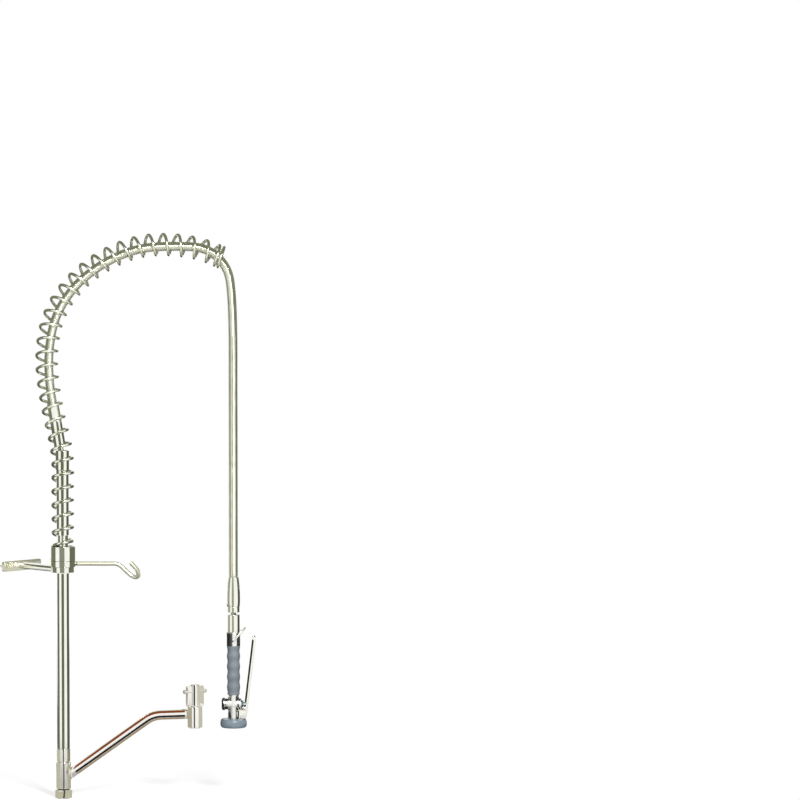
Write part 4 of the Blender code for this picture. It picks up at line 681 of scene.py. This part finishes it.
# %% Hose end and the handset's metal
FERRULE_Z, CONNECTOR_Z, COLLAR_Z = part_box("lower_ferrule")[0].z, 0.3346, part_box("ring_collar")[0].z
at_handset = Vector((HANDSET_X, 0, 0))
lower_ferrule = turned("lower_ferrule", [
    (6.5 * MM, 0), (12.5 * MM, 0), (12.5 * MM, 10.4 * MM), (12.0 * MM, 10.9 * MM), (12.5 * MM, 11.4 * MM),
    (13.2 * MM, 15 * MM), (13.5 * MM, 22 * MM), (13.5 * MM, 32 * MM), (13.3 * MM, 40 * MM), (12.7 * MM, 50 * MM),
    (11.7 * MM, 60 * MM), (10.6 * MM, 69.6 * MM), (10.1 * MM, 70.7 * MM), (6.5 * MM, 70.7 * MM)],
    at_handset + UP * FERRULE_Z)
turned("handle_connector", [(6.6 * MM, 0), (12.75 * MM, 0), (12.75 * MM, 34.2 * MM), (11.9 * MM, 35 * MM), (6.6 * MM, 35 * MM)],
       at_handset + UP * CONNECTOR_Z)
turned("ring_collar", [(9.3 * MM, 0), (13.5 * MM, 0), (13.5 * MM, 14.6 * MM), (13.0 * MM, 14.9 * MM), (13.0 * MM, 15.5 * MM),
                       (13.5 * MM, 15.8 * MM), (13.5 * MM, 27.7 * MM), (9.3 * MM, 27.7 * MM)],
       at_handset + UP * COLLAR_Z, edge=0.6 * MM, finish=TURNED_STEEL)

# %% Hold ring: a wire loop that flips over the lever's tip
BAIL_WIRE, BAIL_HALF, BAIL_LENGTH = 2.0 * MM, 16.3 * MM, 34.8 * MM
BAIL_REST = math.radians(41.5)
straight = BAIL_LENGTH - BAIL_HALF
half_loop = rounded_outline([(9.5 * MM, 0, 0), (BAIL_HALF, 0, 3 * MM), (BAIL_HALF, straight, 0)])
half_loop = half_loop[:-1] + [Vector((BAIL_HALF * math.cos(a), straight + BAIL_HALF * math.sin(a)))
                              for a in (math.pi / 2 * i / 20 for i in range(21))]
loop = [(p.x, p.y) for p in half_loop] + [(-p.x, p.y) for p in reversed(half_loop[:-1])]
lean = Matrix.Rotation(BAIL_REST, 3, "Y")
pivot = at_handset + UP * (COLLAR_Z + 10.5 * MM)
loop_points = [pivot + lean @ Vector((0, y, z)) for y, z in loop]
hold_ring = swept("fine_hold_ring", loop_points, [BAIL_WIRE] * len(loop_points), BUFFED_STEEL, 16)
stands_for(hold_ring, "hold_ring")
print("hold ring wire runs through", len(loop_points), "points")

# %% [markdown]
# ## The grip
# The grip is a moulded rubber sleeve with five soft swells for the fingers. It is one spun profile
# whose radius follows a cosine, with rolled ends.

# %% Grip sleeve
GRIP_Z, GRIP_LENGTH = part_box("grip")[0].z, 97.3 * MM
grip_skin = [(12.6 * MM + 0.65 * MM * math.cos(math.tau * (z - 14.8 * MM) / (20.7 * MM)), z)
             for z in (GRIP_LENGTH * i / 70 for i in range(71))]
turned("grip", [(9.3 * MM, 0)] + grip_skin + [(9.3 * MM, GRIP_LENGTH)], at_handset + UP * GRIP_Z, edge=0.9 * MM)
print("grip %.0f mm long" % (GRIP_LENGTH / MM))

# %% [markdown]
# ## The valve body
# The valve is a cross of two turned barrels: an upright one in line with the grip, and a level one
# that holds the spring, disc and pin. A small lug carries the lever. They are cut from one bar, so
# the pieces are joined by exact Booleans and the joints stay crisp, as in the photograph.

# %% Valve body, cap and pin
VALVE_Z, VALVE_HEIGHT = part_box("valve_body")[0].z, 48.1 * MM
CHAMBER_Z = VALVE_Z + VALVE_HEIGHT - 18.9 * MM
LEVER_PIVOT = Vector((HANDSET_X + 14.8 * MM, 0, VALVE_Z + 9.2 * MM))
BARREL = 11.0 * MM
body = spun("fine_valve_body", [(0, 0), (BARREL, 0), (BARREL, VALVE_HEIGHT), (0, VALVE_HEIGHT)], TURNED_STEEL,
            at_handset + UP * VALVE_Z, edge=0.6 * MM)
barrel = spun("valve_barrel", [(0, 0), (BARREL, 0), (BARREL, 0.0306), (9.8 * MM, 0.0331), (7.5 * MM, 0.0341), (0, 0.0341)],
              TURNED_STEEL, Vector((HANDSET_X - 17.1 * MM, 0, CHAMBER_Z)), RIGHT, edge=0.4 * MM)
combined(body, barrel, "UNION")
lug = pushed_out("valve_lug", rounded_outline([(-8.5 * MM, -4.6 * MM, 0), (4.6 * MM, -4.6 * MM, 4.5 * MM),
                                               (4.6 * MM, 4.6 * MM, 4.5 * MM), (-8.5 * MM, 4.6 * MM, 0)]),
                 -8.6 * MM, 8.6 * MM, TURNED_STEEL, LEVER_PIVOT, -BACK, RIGHT)
stands_for(combined(body, lug, "UNION"), "valve_body")
turned("valve_cap", [(0, -6.8 * MM), (7.7 * MM, -6.8 * MM), (7.7 * MM, 0), (12.7 * MM, 0), (12.7 * MM, 2.2 * MM),
                     (12.3 * MM, 4.1 * MM), (11.1 * MM, 5.6 * MM), (9.4 * MM, 6.2 * MM), (0, 6.2 * MM)],
       Vector((HANDSET_X - 17.1 * MM - GAP, 0, CHAMBER_Z)), -RIGHT, edge=0.9 * MM, finish=TURNED_STEEL)
print("valve chamber at %.4f m" % CHAMBER_Z)

# %% [markdown]
# ## The squeeze lever
# The lever is one strip of 1.5 mm steel folded into a channel. Its flanges hide the pin and give it
# stiffness, and it leans out along the grip. An outline seen from the side is pushed out to the
# lever's width with a rounded rim like pressed sheet; then the channel's hollow and a strip of the near flange are cut
# from it.

# %% Lever
LEVER_LENGTH, LEVER_HALF, SHEET, LEAN, DEPTH = 155.8 * MM, 10.7 * MM, 1.5 * MM, 0.1195, 7.5 * MM


def arm_outer(up):
    return 11.9 * MM + LEAN * up


def web_inside(up):
    return arm_outer(up) - SHEET * math.hypot(1.0, LEAN)


low, shoulder = -8.6 * MM, 10.0 * MM
side_view = rounded_outline([
    (-6.6 * MM, low, 6.6 * MM), (arm_outer(low), low, 2 * MM), (arm_outer(LEVER_LENGTH), LEVER_LENGTH, 3.4 * MM),
    (arm_outer(LEVER_LENGTH) - DEPTH, LEVER_LENGTH, 2.8 * MM), (arm_outer(shoulder) - DEPTH, shoulder, 0),
    (-6.6 * MM, shoulder, 3 * MM)], 5)
lever = pushed_out("fine_lever", side_view, -LEVER_HALF, LEVER_HALF, BUFFED_STEEL, LEVER_PIVOT, -BACK, RIGHT, 0.4 * MM)
under, roof, inner = low - 4 * MM, LEVER_LENGTH - SHEET, LEVER_HALF - SHEET
hollow = pushed_out("lever_hollow", rounded_outline([(-12 * MM, under, 0), (web_inside(under), under, 0),
                                                     (web_inside(roof), roof, 2.6 * MM), (-12 * MM, roof, 0)], 8),
                    -inner, inner, BUFFED_STEEL, LEVER_PIVOT, -BACK, RIGHT)
near_rim, foot_up, tip_up = 3.6 * MM, shoulder + 5 * MM, LEVER_LENGTH - 5 * MM
near_cut = pushed_out("lever_near_cut", rounded_outline([
    (-12 * MM, foot_up, 0), (arm_outer(foot_up) - near_rim, foot_up, 3 * MM),
    (arm_outer(tip_up) - near_rim, tip_up, 3 * MM), (-12 * MM, tip_up, 0)], 8),
    inner - 0.1 * MM, LEVER_HALF + MM, BUFFED_STEEL, LEVER_PIVOT, -BACK, RIGHT)
combined(lever, near_cut, "DIFFERENCE")
combined(lever, hollow, "DIFFERENCE")
print("lever faces:", len(lever.data.polygons))
# The faces inside the channel take the dark steel: painted shade in the lever's hollow.
lever.data.materials.append(PAINTED_SHADE_CHANNEL_STEEL)
for face in lever.data.polygons:
    at = face.center - LEVER_PIVOT
    if abs(at.y) < inner + 0.2 * MM and at.x < web_inside(at.z) + 0.2 * MM:
        face.material_index = 1
stands_for(lever, "lever")
head, shank = 3.6 * MM, LEVER_HALF + GAP
turned("lever_pivot_pin", [
    (0, -shank - 1.2 * MM), (head, -shank - 1.0 * MM), (head, -shank), (2.2 * MM, -shank), (2.2 * MM, shank),
    (head, shank), (head, shank + 1.0 * MM), (0, shank + 1.2 * MM)], LEVER_PIVOT, BACK, 36, 0.3 * MM)
print("lever %.0f mm long" % (LEVER_LENGTH / MM))

# %% [markdown]
# ## The bumper and spray face
# A thick rubber ring guards the spray face, so that the handset can knock on a pan. Seen from the
# side it is a flattened bead, fullest at its middle.

# %% Bumper ring
SHELL_TOP = VALVE_Z - GAP
BUMPER_RADIUS, RIM = 26.5 * MM, 20.3 * MM
turned("bumper_ring", [
    (RIM + GAP, -17.7 * MM), (23.2 * MM, -17.7 * MM), (25.3 * MM, -15.9 * MM), (26.3 * MM, -12.6 * MM),
    (BUMPER_RADIUS, -9.0 * MM), (26.3 * MM, -5.4 * MM), (25.3 * MM, -2.1 * MM), (23.2 * MM, -GAP),
    (12.3 * MM, -GAP), (12.3 * MM, -2.3 * MM), (RIM + GAP, -2.3 * MM)], at_handset + UP * SHELL_TOP, steps=96, edge=4 * MM)
print("bumper %.0f mm across" % (2 * BUMPER_RADIUS / MM))

# %% [markdown]
# ## The spout
# The spout is 20 mm tube: a straight rise of 35 degrees, one bend made over a former, and a short
# run into the tap. The bend is an arc of real radius between two straights, as a tube bender makes.

# %% Spout tube
SPOUT_RADIUS, SPOUT_BEND, KNEE_X, SPOUT_REACH = 10.0 * MM, 56.0 * MM, 0.179, 0.2632
SPOUT_RISE, SPOUT_LEVEL = math.radians(35.5), math.radians(2.0)
SPOUT_Z = HUB_Z + 20.0 * MM
rise = Vector((math.cos(SPOUT_RISE), 0, math.sin(SPOUT_RISE)))
level = Vector((math.cos(SPOUT_LEVEL), 0, math.sin(SPOUT_LEVEL)))
knee = Vector((KNEE_X, 0, SPOUT_Z + KNEE_X * math.tan(SPOUT_RISE)))
half_turn = (SPOUT_RISE - SPOUT_LEVEL) / 2
bend_middle = knee - rise * (SPOUT_BEND * math.tan(half_turn)) + Vector((rise.z, 0, -rise.x)) * SPOUT_BEND
bend_points = [bend_middle + Vector((-math.sin(h), 0, math.cos(h))) * SPOUT_BEND
               for h in (SPOUT_RISE - 2 * half_turn * i / 24 for i in range(25))]
spout_end = knee + level * ((SPOUT_REACH - 8.5 * MM - KNEE_X) / level.x)
spout_start = UP * SPOUT_Z + rise * 11.0 * MM
spout_points = [spout_start] + bend_points + [spout_end]
spout = swept("fine_spout_tube", spout_points, [SPOUT_RADIUS] * len(spout_points), SPOUT_STEEL, 48)
stands_for(spout, "spout_tube")
print("spout bends at x %.3f m" % KNEE_X)

# %% [markdown]
# ## The tap at the spout's end
# A short upright barrel closes the spout. Below it is the aerator, and above it a quarter-turn
# handle: a round boss between two flat wings, with a cross pin through both and a low domed cap.

# %% Tap body and handle
TAP_Z = SPOUT_Z + KNEE_X * math.tan(SPOUT_RISE) + (SPOUT_REACH - KNEE_X) * math.tan(SPOUT_LEVEL) - 27.5 * MM
TAP_HEIGHT = 42.0 * MM
HANDLE_Z = TAP_Z + TAP_HEIGHT + GAP
at_tap = Vector((SPOUT_REACH, 0, TAP_Z))
turned("spout_valve_body", [(10.55 * MM, 0), (14.5 * MM, 0), (14.5 * MM, TAP_HEIGHT), (9 * MM, TAP_HEIGHT),
                            (9 * MM, TAP_HEIGHT - 6 * MM), (10.55 * MM, 8 * MM)], at_tap, edge=0.7 * MM)
turned("aerator_housing", [(7.4 * MM, -2 * MM), (10.25 * MM, -2 * MM), (10.25 * MM, 7.4 * MM), (8.2 * MM, 7.4 * MM),
                           (8.2 * MM, -1 * MM), (7.4 * MM, -1 * MM)], at_tap)
WING_TURN = math.radians(30.0)
wing_way = Vector((math.cos(WING_TURN), math.sin(WING_TURN), 0))
HANDLE_HEIGHT, BOSS, SPAN = 41.7 * MM, 9.3 * MM, 19.5 * MM
at_handle = Vector((SPOUT_REACH, 0, HANDLE_Z))
handle = spun("fine_spout_handle", [(0, 0), (BOSS, 0), (BOSS, HANDLE_HEIGHT), (0, HANDLE_HEIGHT)], SPOUT_STEEL, at_handle)
wings = pushed_out("handle_wings", rounded_outline([(-SPAN, 0.6 * MM, 2 * MM), (SPAN, 0.6 * MM, 2 * MM),
                                                    (SPAN, HANDLE_HEIGHT - 0.3 * MM, 4 * MM),
                                                    (-SPAN, HANDLE_HEIGHT - 0.3 * MM, 4 * MM)]),
                   -2.5 * MM, 2.5 * MM, SPOUT_STEEL, at_handle, wing_way.cross(UP), wing_way, 0.9 * MM)
stands_for(combined(handle, wings, "UNION"), "spout_handle")
PIN_HALF, PIN, KNOB = 26.0 * MM, 3.6 * MM, 4.25 * MM
turned("handle_cross_pin", [
    (0, -PIN_HALF), (KNOB * 0.7, -PIN_HALF), (KNOB, -PIN_HALF + 2 * MM), (KNOB, -SPAN - 1.1 * MM), (PIN, -SPAN - GAP),
    (PIN, SPAN + GAP), (KNOB, SPAN + 1.1 * MM), (KNOB, PIN_HALF - 2 * MM), (KNOB * 0.7, PIN_HALF), (0, PIN_HALF)],
    at_handle + UP * 29.9 * MM, wing_way, 40, 1.0 * MM)
cap_foot = HANDLE_HEIGHT + GAP
turned("handle_cap", [(0, cap_foot - 4.8 * MM), (2.2 * MM, cap_foot - 4.8 * MM), (2.2 * MM, cap_foot), (BOSS, cap_foot)]
       + [(BOSS * math.cos(a), cap_foot + 0.6 * MM + 3.1 * MM * math.sin(a)) for a in (math.pi / 2 * i / 12 for i in range(13))],
       at_handle, edge=0.2 * MM)
print("tap at %.4f m" % TAP_Z)

# %% [markdown]
# ## The studio
# A polished tube shows the room in narrow upright bands, one for each direction. In the photograph
# every upright piece has the same ones: dark left edge, white, grey middle, white, dark right edge.
# A photographer makes them with dark cards, called flags, round a white set. Here each flag is a
# curved card that only reflections can see, dark on its face and white on its back. Each piece has
# its own ring of them, because the foot is warmer, and the collar and the valve are darker, than the
# riser. Two ribbons along the spout give it a red-brown line above and a black one below.

# %% Floor and world
def only_in_reflections(piece):
    piece.visible_camera = piece.visible_diffuse = piece.visible_shadow = False
    piece.visible_transmission = piece.visible_volume_scatter = False


# A card glows in its own colour, lit by no lamp, and only reflections see it, so each card paints a reflection band on
# the pieces.
def card_finish(name, hex_colour):
    material, tree, shader = new_material(name)
    tree.nodes.remove(shader)
    glow = add_node(tree, "Emission", Color=linear(hex_colour))
    tree.links.new(glow.outputs["Emission"], tree.nodes["Material Output"].inputs["Surface"])
    return material


WHITE_BACK = card_finish("white_card_back", "#ffffff")


def card(name, hex_colour, face, back):
    """A strip of card, coloured on its face and white on its back; each side is pairs of points."""
    bm = bmesh.new()
    for layer, pairs in enumerate((face, back)):
        verts = [[bm.verts.new(point) for point in pair] for pair in pairs]
        for a, b in zip(verts, verts[1:]):
            bm.faces.new((a[0], b[0], b[1], a[1])).material_index = layer
    piece = finish_mesh(name, bm, card_finish(name + "_card", hex_colour))
    piece.data.materials.append(WHITE_BACK)
    only_in_reflections(piece)
    return piece


def level_card(name, hex_colour, x_range, y_range, height, behind):
    """A level card; its back is above or below its face."""
    face, back = ([[(x, y, z) for y in y_range] for x in x_range] for z in (height, height + behind))
    return card(name, hex_colour, face, back)


def curved_card(name, hex_colour, from_degrees, to_degrees, radius, low, high, centre_x=0.0):
    """A card curved round an upright axis; 0 degrees is towards the camera, and angles grow to the right."""
    angles = [math.radians(from_degrees + (to_degrees - from_degrees) * i / 16) for i in range(17)]
    face, back = ([[(centre_x + out * math.sin(a), -out * math.cos(a), z) for z in (low, high)] for a in angles]
                  for out in (radius, radius + MM))
    return card(name, hex_colour, face, back)


def mirror_angle(shown, piece_radius, radius):
    """The angle, in degrees, of the card that shows at one place across a round piece."""
    return math.degrees(2 * math.asin(shown) - math.asin(shown * piece_radius / radius))


def ring_of_flags(name, centre_x, piece_radius, radius, low, high, **sectors):
    """Flags round one stretch of an upright piece. A sector is a colour and where it shows in the
    piece, from -1 at its left edge to 1 at its right; the mirror law turns that into angles."""
    for side, (hex_colour, *shown) in sectors.items():
        start, end = (mirror_angle(s, piece_radius, radius) for s in shown)
        curved_card(name + "_" + side + "_flag", hex_colour, start, end, radius, low, high, centre_x)


def white_studio_world():
    world = bpy.data.worlds.new("white_studio")
    bpy.context.scene.world = world
    world.use_nodes = True
    tree = world.node_tree
    seen = add_node(tree, "LightPath")
    shown = add_node(tree, "Math", {"operation": "MAXIMUM"})
    tree.links.new(seen.outputs["Is Camera Ray"], shown.inputs[0])
    tree.links.new(seen.outputs["Is Glossy Ray"], shown.inputs[1])
    clear = add_node(tree, "Math", {"operation": "MAXIMUM"})
    tree.links.new(shown.outputs["Value"], clear.inputs[0])
    tree.links.new(seen.outputs["Is Transmission Ray"], clear.inputs[1])
    lighting = tree.nodes["Background"]
    lighting.inputs["Color"].default_value = linear("#f4f6ff")
    lighting.inputs["Strength"].default_value = 0.10
    backdrop = add_node(tree, "Background", Color=linear("#ffffff"), Strength=1.0)
    mixed = add_node(tree, "MixShader")
    tree.links.new(clear.outputs["Value"], mixed.inputs["Fac"])
    tree.links.new(lighting.outputs["Background"], mixed.inputs[1])
    tree.links.new(backdrop.outputs["Background"], mixed.inputs[2])
    tree.links.new(mixed.outputs["Shader"], tree.nodes["World Output"].inputs["Surface"])
    return world


white_studio_world()
bm = bmesh.new()
bmesh.ops.create_circle(bm, cap_ends=True, segments=96, radius=3.0)
floor_material, tree, shader = new_material("matt_white_floor")
shader.inputs["Roughness"].default_value = 0.9
speckle = noise(tree, 4.0)
tree.links.new(ramp(tree, speckle, 0.2, 0.8, "#cbcbca", "#d2d2d1"), shader.inputs["Base Color"])
shader.inputs["Emission Color"].default_value = linear("#ffffff")
looked_at = add_node(tree, "LightPath").outputs["Is Camera Ray"]
lift = add_node(tree, "Math", {"operation": "MULTIPLY"})
tree.links.new(looked_at, lift.inputs[0])
lift.inputs[1].default_value = 0.68
tree.links.new(lift.outputs["Value"], shader.inputs["Emission Strength"])
place = add_node(tree, "TexCoord").outputs["Object"]
far = add_node(tree, "VectorMath", {"operation": "LENGTH"}, Vector=place).outputs["Value"]
fade = add_node(tree, "MapRange", Value=far, From_Min=0.30, From_Max=1.1).outputs["Result"]
through = add_node(tree, "BsdfTransparent").outputs["BSDF"]
mixed = add_node(tree, "MixShader", Fac=fade)
tree.links.new(shader.outputs["BSDF"], mixed.inputs[1])
tree.links.new(through, mixed.inputs[2])
tree.links.new(mixed.outputs["Shader"], tree.nodes["Material Output"].inputs["Surface"])
floor = finish_mesh("floor", bm, floor_material)
floor.data.transform(Matrix.Translation((0.12, 0.0, -0.2 * MM)))

# %% Flags and cards
OLIVE, DEEP_OLIVE, PALE_OLIVE, WARM, NEAR_BLACK = "#666c5c", "#565d4c", "#9ea08c", "#c0bcab", "#0e0e10"
ring_of_flags("nut", 0.0, 17 * MM, 24 * MM, 0.3 * MM, 0.0172, left=(WARM, -0.97, -0.05),
              front=("#4a4d46", -0.05, 0.09), right=(WARM, 0.09, 0.97))
ring_of_flags("hub", 0.0, 14.75 * MM, 18 * MM, 0.019, 0.0722, left=(WARM, -0.97, -0.42),
              front=("#50564b", -0.02, 0.16), right=("#b5b09e", 0.55, 0.97))
ring_of_flags("sleeve", 0.0, 13.25 * MM, 17 * MM, 0.0727, 0.099, left=(WARM, -0.97, -0.50),
              front=("#50564b", -0.07, 0.11), right=("#938d7d", 0.60, 0.97))
ring_of_flags("riser", 0.0, 12.5 * MM, 17 * MM, 0.0994, 0.452, left=(OLIVE, -0.872, -0.552),
              front=(OLIVE, -0.20, 0.208), right=(DEEP_OLIVE, 0.632, 0.968))
ring_of_flags("rings", 0.0, 25 * MM, 30 * MM, 0.452, 0.527, left=("#737966", -0.88, -0.52),
              front=("#8b9081", -0.22, 0.18), right=("#6a705d", 0.56, 0.966))
ring_of_flags("hose", HANDSET_X, 9.5 * MM, 26 * MM, 0.4215, 0.93, left=(PALE_OLIVE, -0.85, -0.50),
              left_white=("#ffffff", -0.50, -0.216), front=(PALE_OLIVE, -0.216, 0.07),
              right_white=("#ffffff", 0.07, 0.62), right=("#626858", 0.62, 0.97))
ring_of_flags("connector", HANDSET_X, 13 * MM, 17 * MM, 0.334, 0.4215, left=(PALE_OLIVE, -0.847, -0.533),
              front=(PALE_OLIVE, -0.22, 0.09), right=("#4a5041", 0.66, 0.97))
ring_of_flags("collar", HANDSET_X, 13.5 * MM, 18 * MM, 0.305, 0.333, left=(NEAR_BLACK, -0.98, -0.52),
              middle=("#3c3f40", -0.52, -0.14), right=("#26282a", 0.50, 0.98))
ring_of_flags("valve_left", HANDSET_X, 11 * MM, 30 * MM, 0.150, 0.2065, dark=(NEAR_BLACK, -0.98, -0.32))
ring_of_flags("valve_right", HANDSET_X, 11 * MM, 15.5 * MM, 0.150, 0.2065, dark=("#2a2c2a", 0.40, 0.98))
ring_of_flags("grip", HANDSET_X, 13 * MM, 20 * MM, 0.2075, 0.304, left=(NEAR_BLACK, -0.98, -0.30),
              right=(NEAR_BLACK, 0.45, 0.98))
ring_of_flags("bumper", HANDSET_X, 26 * MM, 32 * MM, 0.122, 0.149, left=(NEAR_BLACK, -0.98, -0.20),
              right=("#2b2d2f", 0.60, 0.98))
ring_of_flags("tap", SPOUT_REACH, 14.5 * MM, 19 * MM, 0.1420, 0.1840, left=("#b0ad9b", -0.97, -0.38),
              front=("#4f544b", -0.14, 0.05), right=("#c9c6b8", 0.52, 0.97))
ring_of_flags("handle", SPOUT_REACH, 9.3 * MM, 28 * MM, 0.1845, 0.236, left=("#aca996", -0.97, -0.47),
              front=("#30332e", -0.28, 0.06), right=("#d2cfc4", 0.50, 0.97))
ring_of_flags("tailpiece", 0.0, 13 * MM, 32 * MM, 0.527, 0.76, left=(OLIVE, -0.92, -0.56),
              left_white=("#ffffff", -0.56, -0.22), front=(OLIVE, -0.22, 0.22),
              right_white=("#ffffff", 0.22, 0.62), right=(DEEP_OLIVE, 0.62, 0.97))
for side, start, end in (("left", -121, -67), ("right", 78, 151)):
    curved_card("far_" + side + "_flag", OLIVE, start, end, 2.6, 0.5, 4.0)
level_card("back_floor_flag", "#4b5142", (-1.2, 1.4), (0.45, 2.6), 0.5 * MM, -0.2 * MM)

tunnel_middle, tunnel_radius = Vector((0.15, 0.0, 0.86)), 0.34
rims = [[[tunnel_middle + Vector((out * math.cos(a), y, out * math.sin(a))) for y in (-0.14, 0.45)]
         for a in (math.radians(-42.0 + 5.5 * i) for i in range(49))] for out in (tunnel_radius, tunnel_radius + MM)]
card("arch_tunnel", "#7b816e", *rims)


def card_along(name, hex_colour, line, from_degrees, to_degrees, reach):
    """A ribbon that a level tube mirrors between two angles round it; 0 faces the camera, 90 is under it."""
    face, back = [], []
    for i, point in enumerate(line):
        along = (line[min(i + 1, len(line) - 1)] - line[max(i - 1, 0)]).normalized()
        under = BACK.cross(along)
        under = under if under.z < 0 else -under
        ways = [(under * math.sin(a) - BACK * math.cos(a)) * (2 * math.cos(a)) + BACK
                for a in (math.radians(from_degrees), math.radians(to_degrees))]
        face.append([point + way * reach for way in ways])
        back.append([point + way * (reach + MM) for way in ways])
    return card(name, hex_colour, face, back)


bent_spout = bend_points + [spout_end - level * 12 * MM]
card_along("dark_ribbon", "#241f23", [spout_start + rise * 15 * MM] + bent_spout, 4.8, 25.0, 0.03)
card_along("brown_ribbon", "#a5967f", [spout_start + rise * 16 * MM] + bent_spout, 28.4, 64.0, 0.024)
card_along("red_ribbon", "#8a4423", [spout_start + rise * 16 * MM] + bent_spout, -16.0, -37.0, 0.018)
chamber = [Vector((HANDSET_X + x, 0, CHAMBER_Z)) for x in (-0.025, -0.011)], [
    Vector((HANDSET_X + x, 0, CHAMBER_Z)) for x in (0.011, 0.024)]
for side, line in zip(("left", "right"), chamber):
    card_along("barrel_%s_under_flag" % side, NEAR_BLACK, line, 17.5, 57.0, 0.018)
    card_along("barrel_%s_over_flag" % side, NEAR_BLACK, line, -17.5, -57.0, 0.018)
print("studio cards in place")

# %% Lamps
def soft_lamp(name, place, target, size, power, glossy):
    lamp = bpy.data.objects.new(name, bpy.data.lights.new(name, "AREA"))
    lamp.data.shape, lamp.data.size, lamp.data.energy = "DISK", size, power
    lamp.location = place
    lamp.rotation_euler = (Vector(target) - Vector(place)).to_track_quat("-Z", "Y").to_euler()
    lamp.visible_glossy = glossy
    bpy.context.scene.collection.objects.link(lamp)
    return lamp


soft_lamp("key_lamp", (0.95, -2.5, 1.9), (0.2, 0.0, 0.5), 0.8, 100.0, True)
soft_lamp("fill_lamp", (-2.2, -1.8, 1.6), (0.12, 0.0, 0.5), 1.6, 1.5, False)
soft_lamp("back_lamp", (-0.8, 2.6, 2.4), (0.12, 0.0, 0.6), 1.4, 5.0, False)
bpy.context.scene.view_settings.view_transform = "Standard"
print("lamps in place")
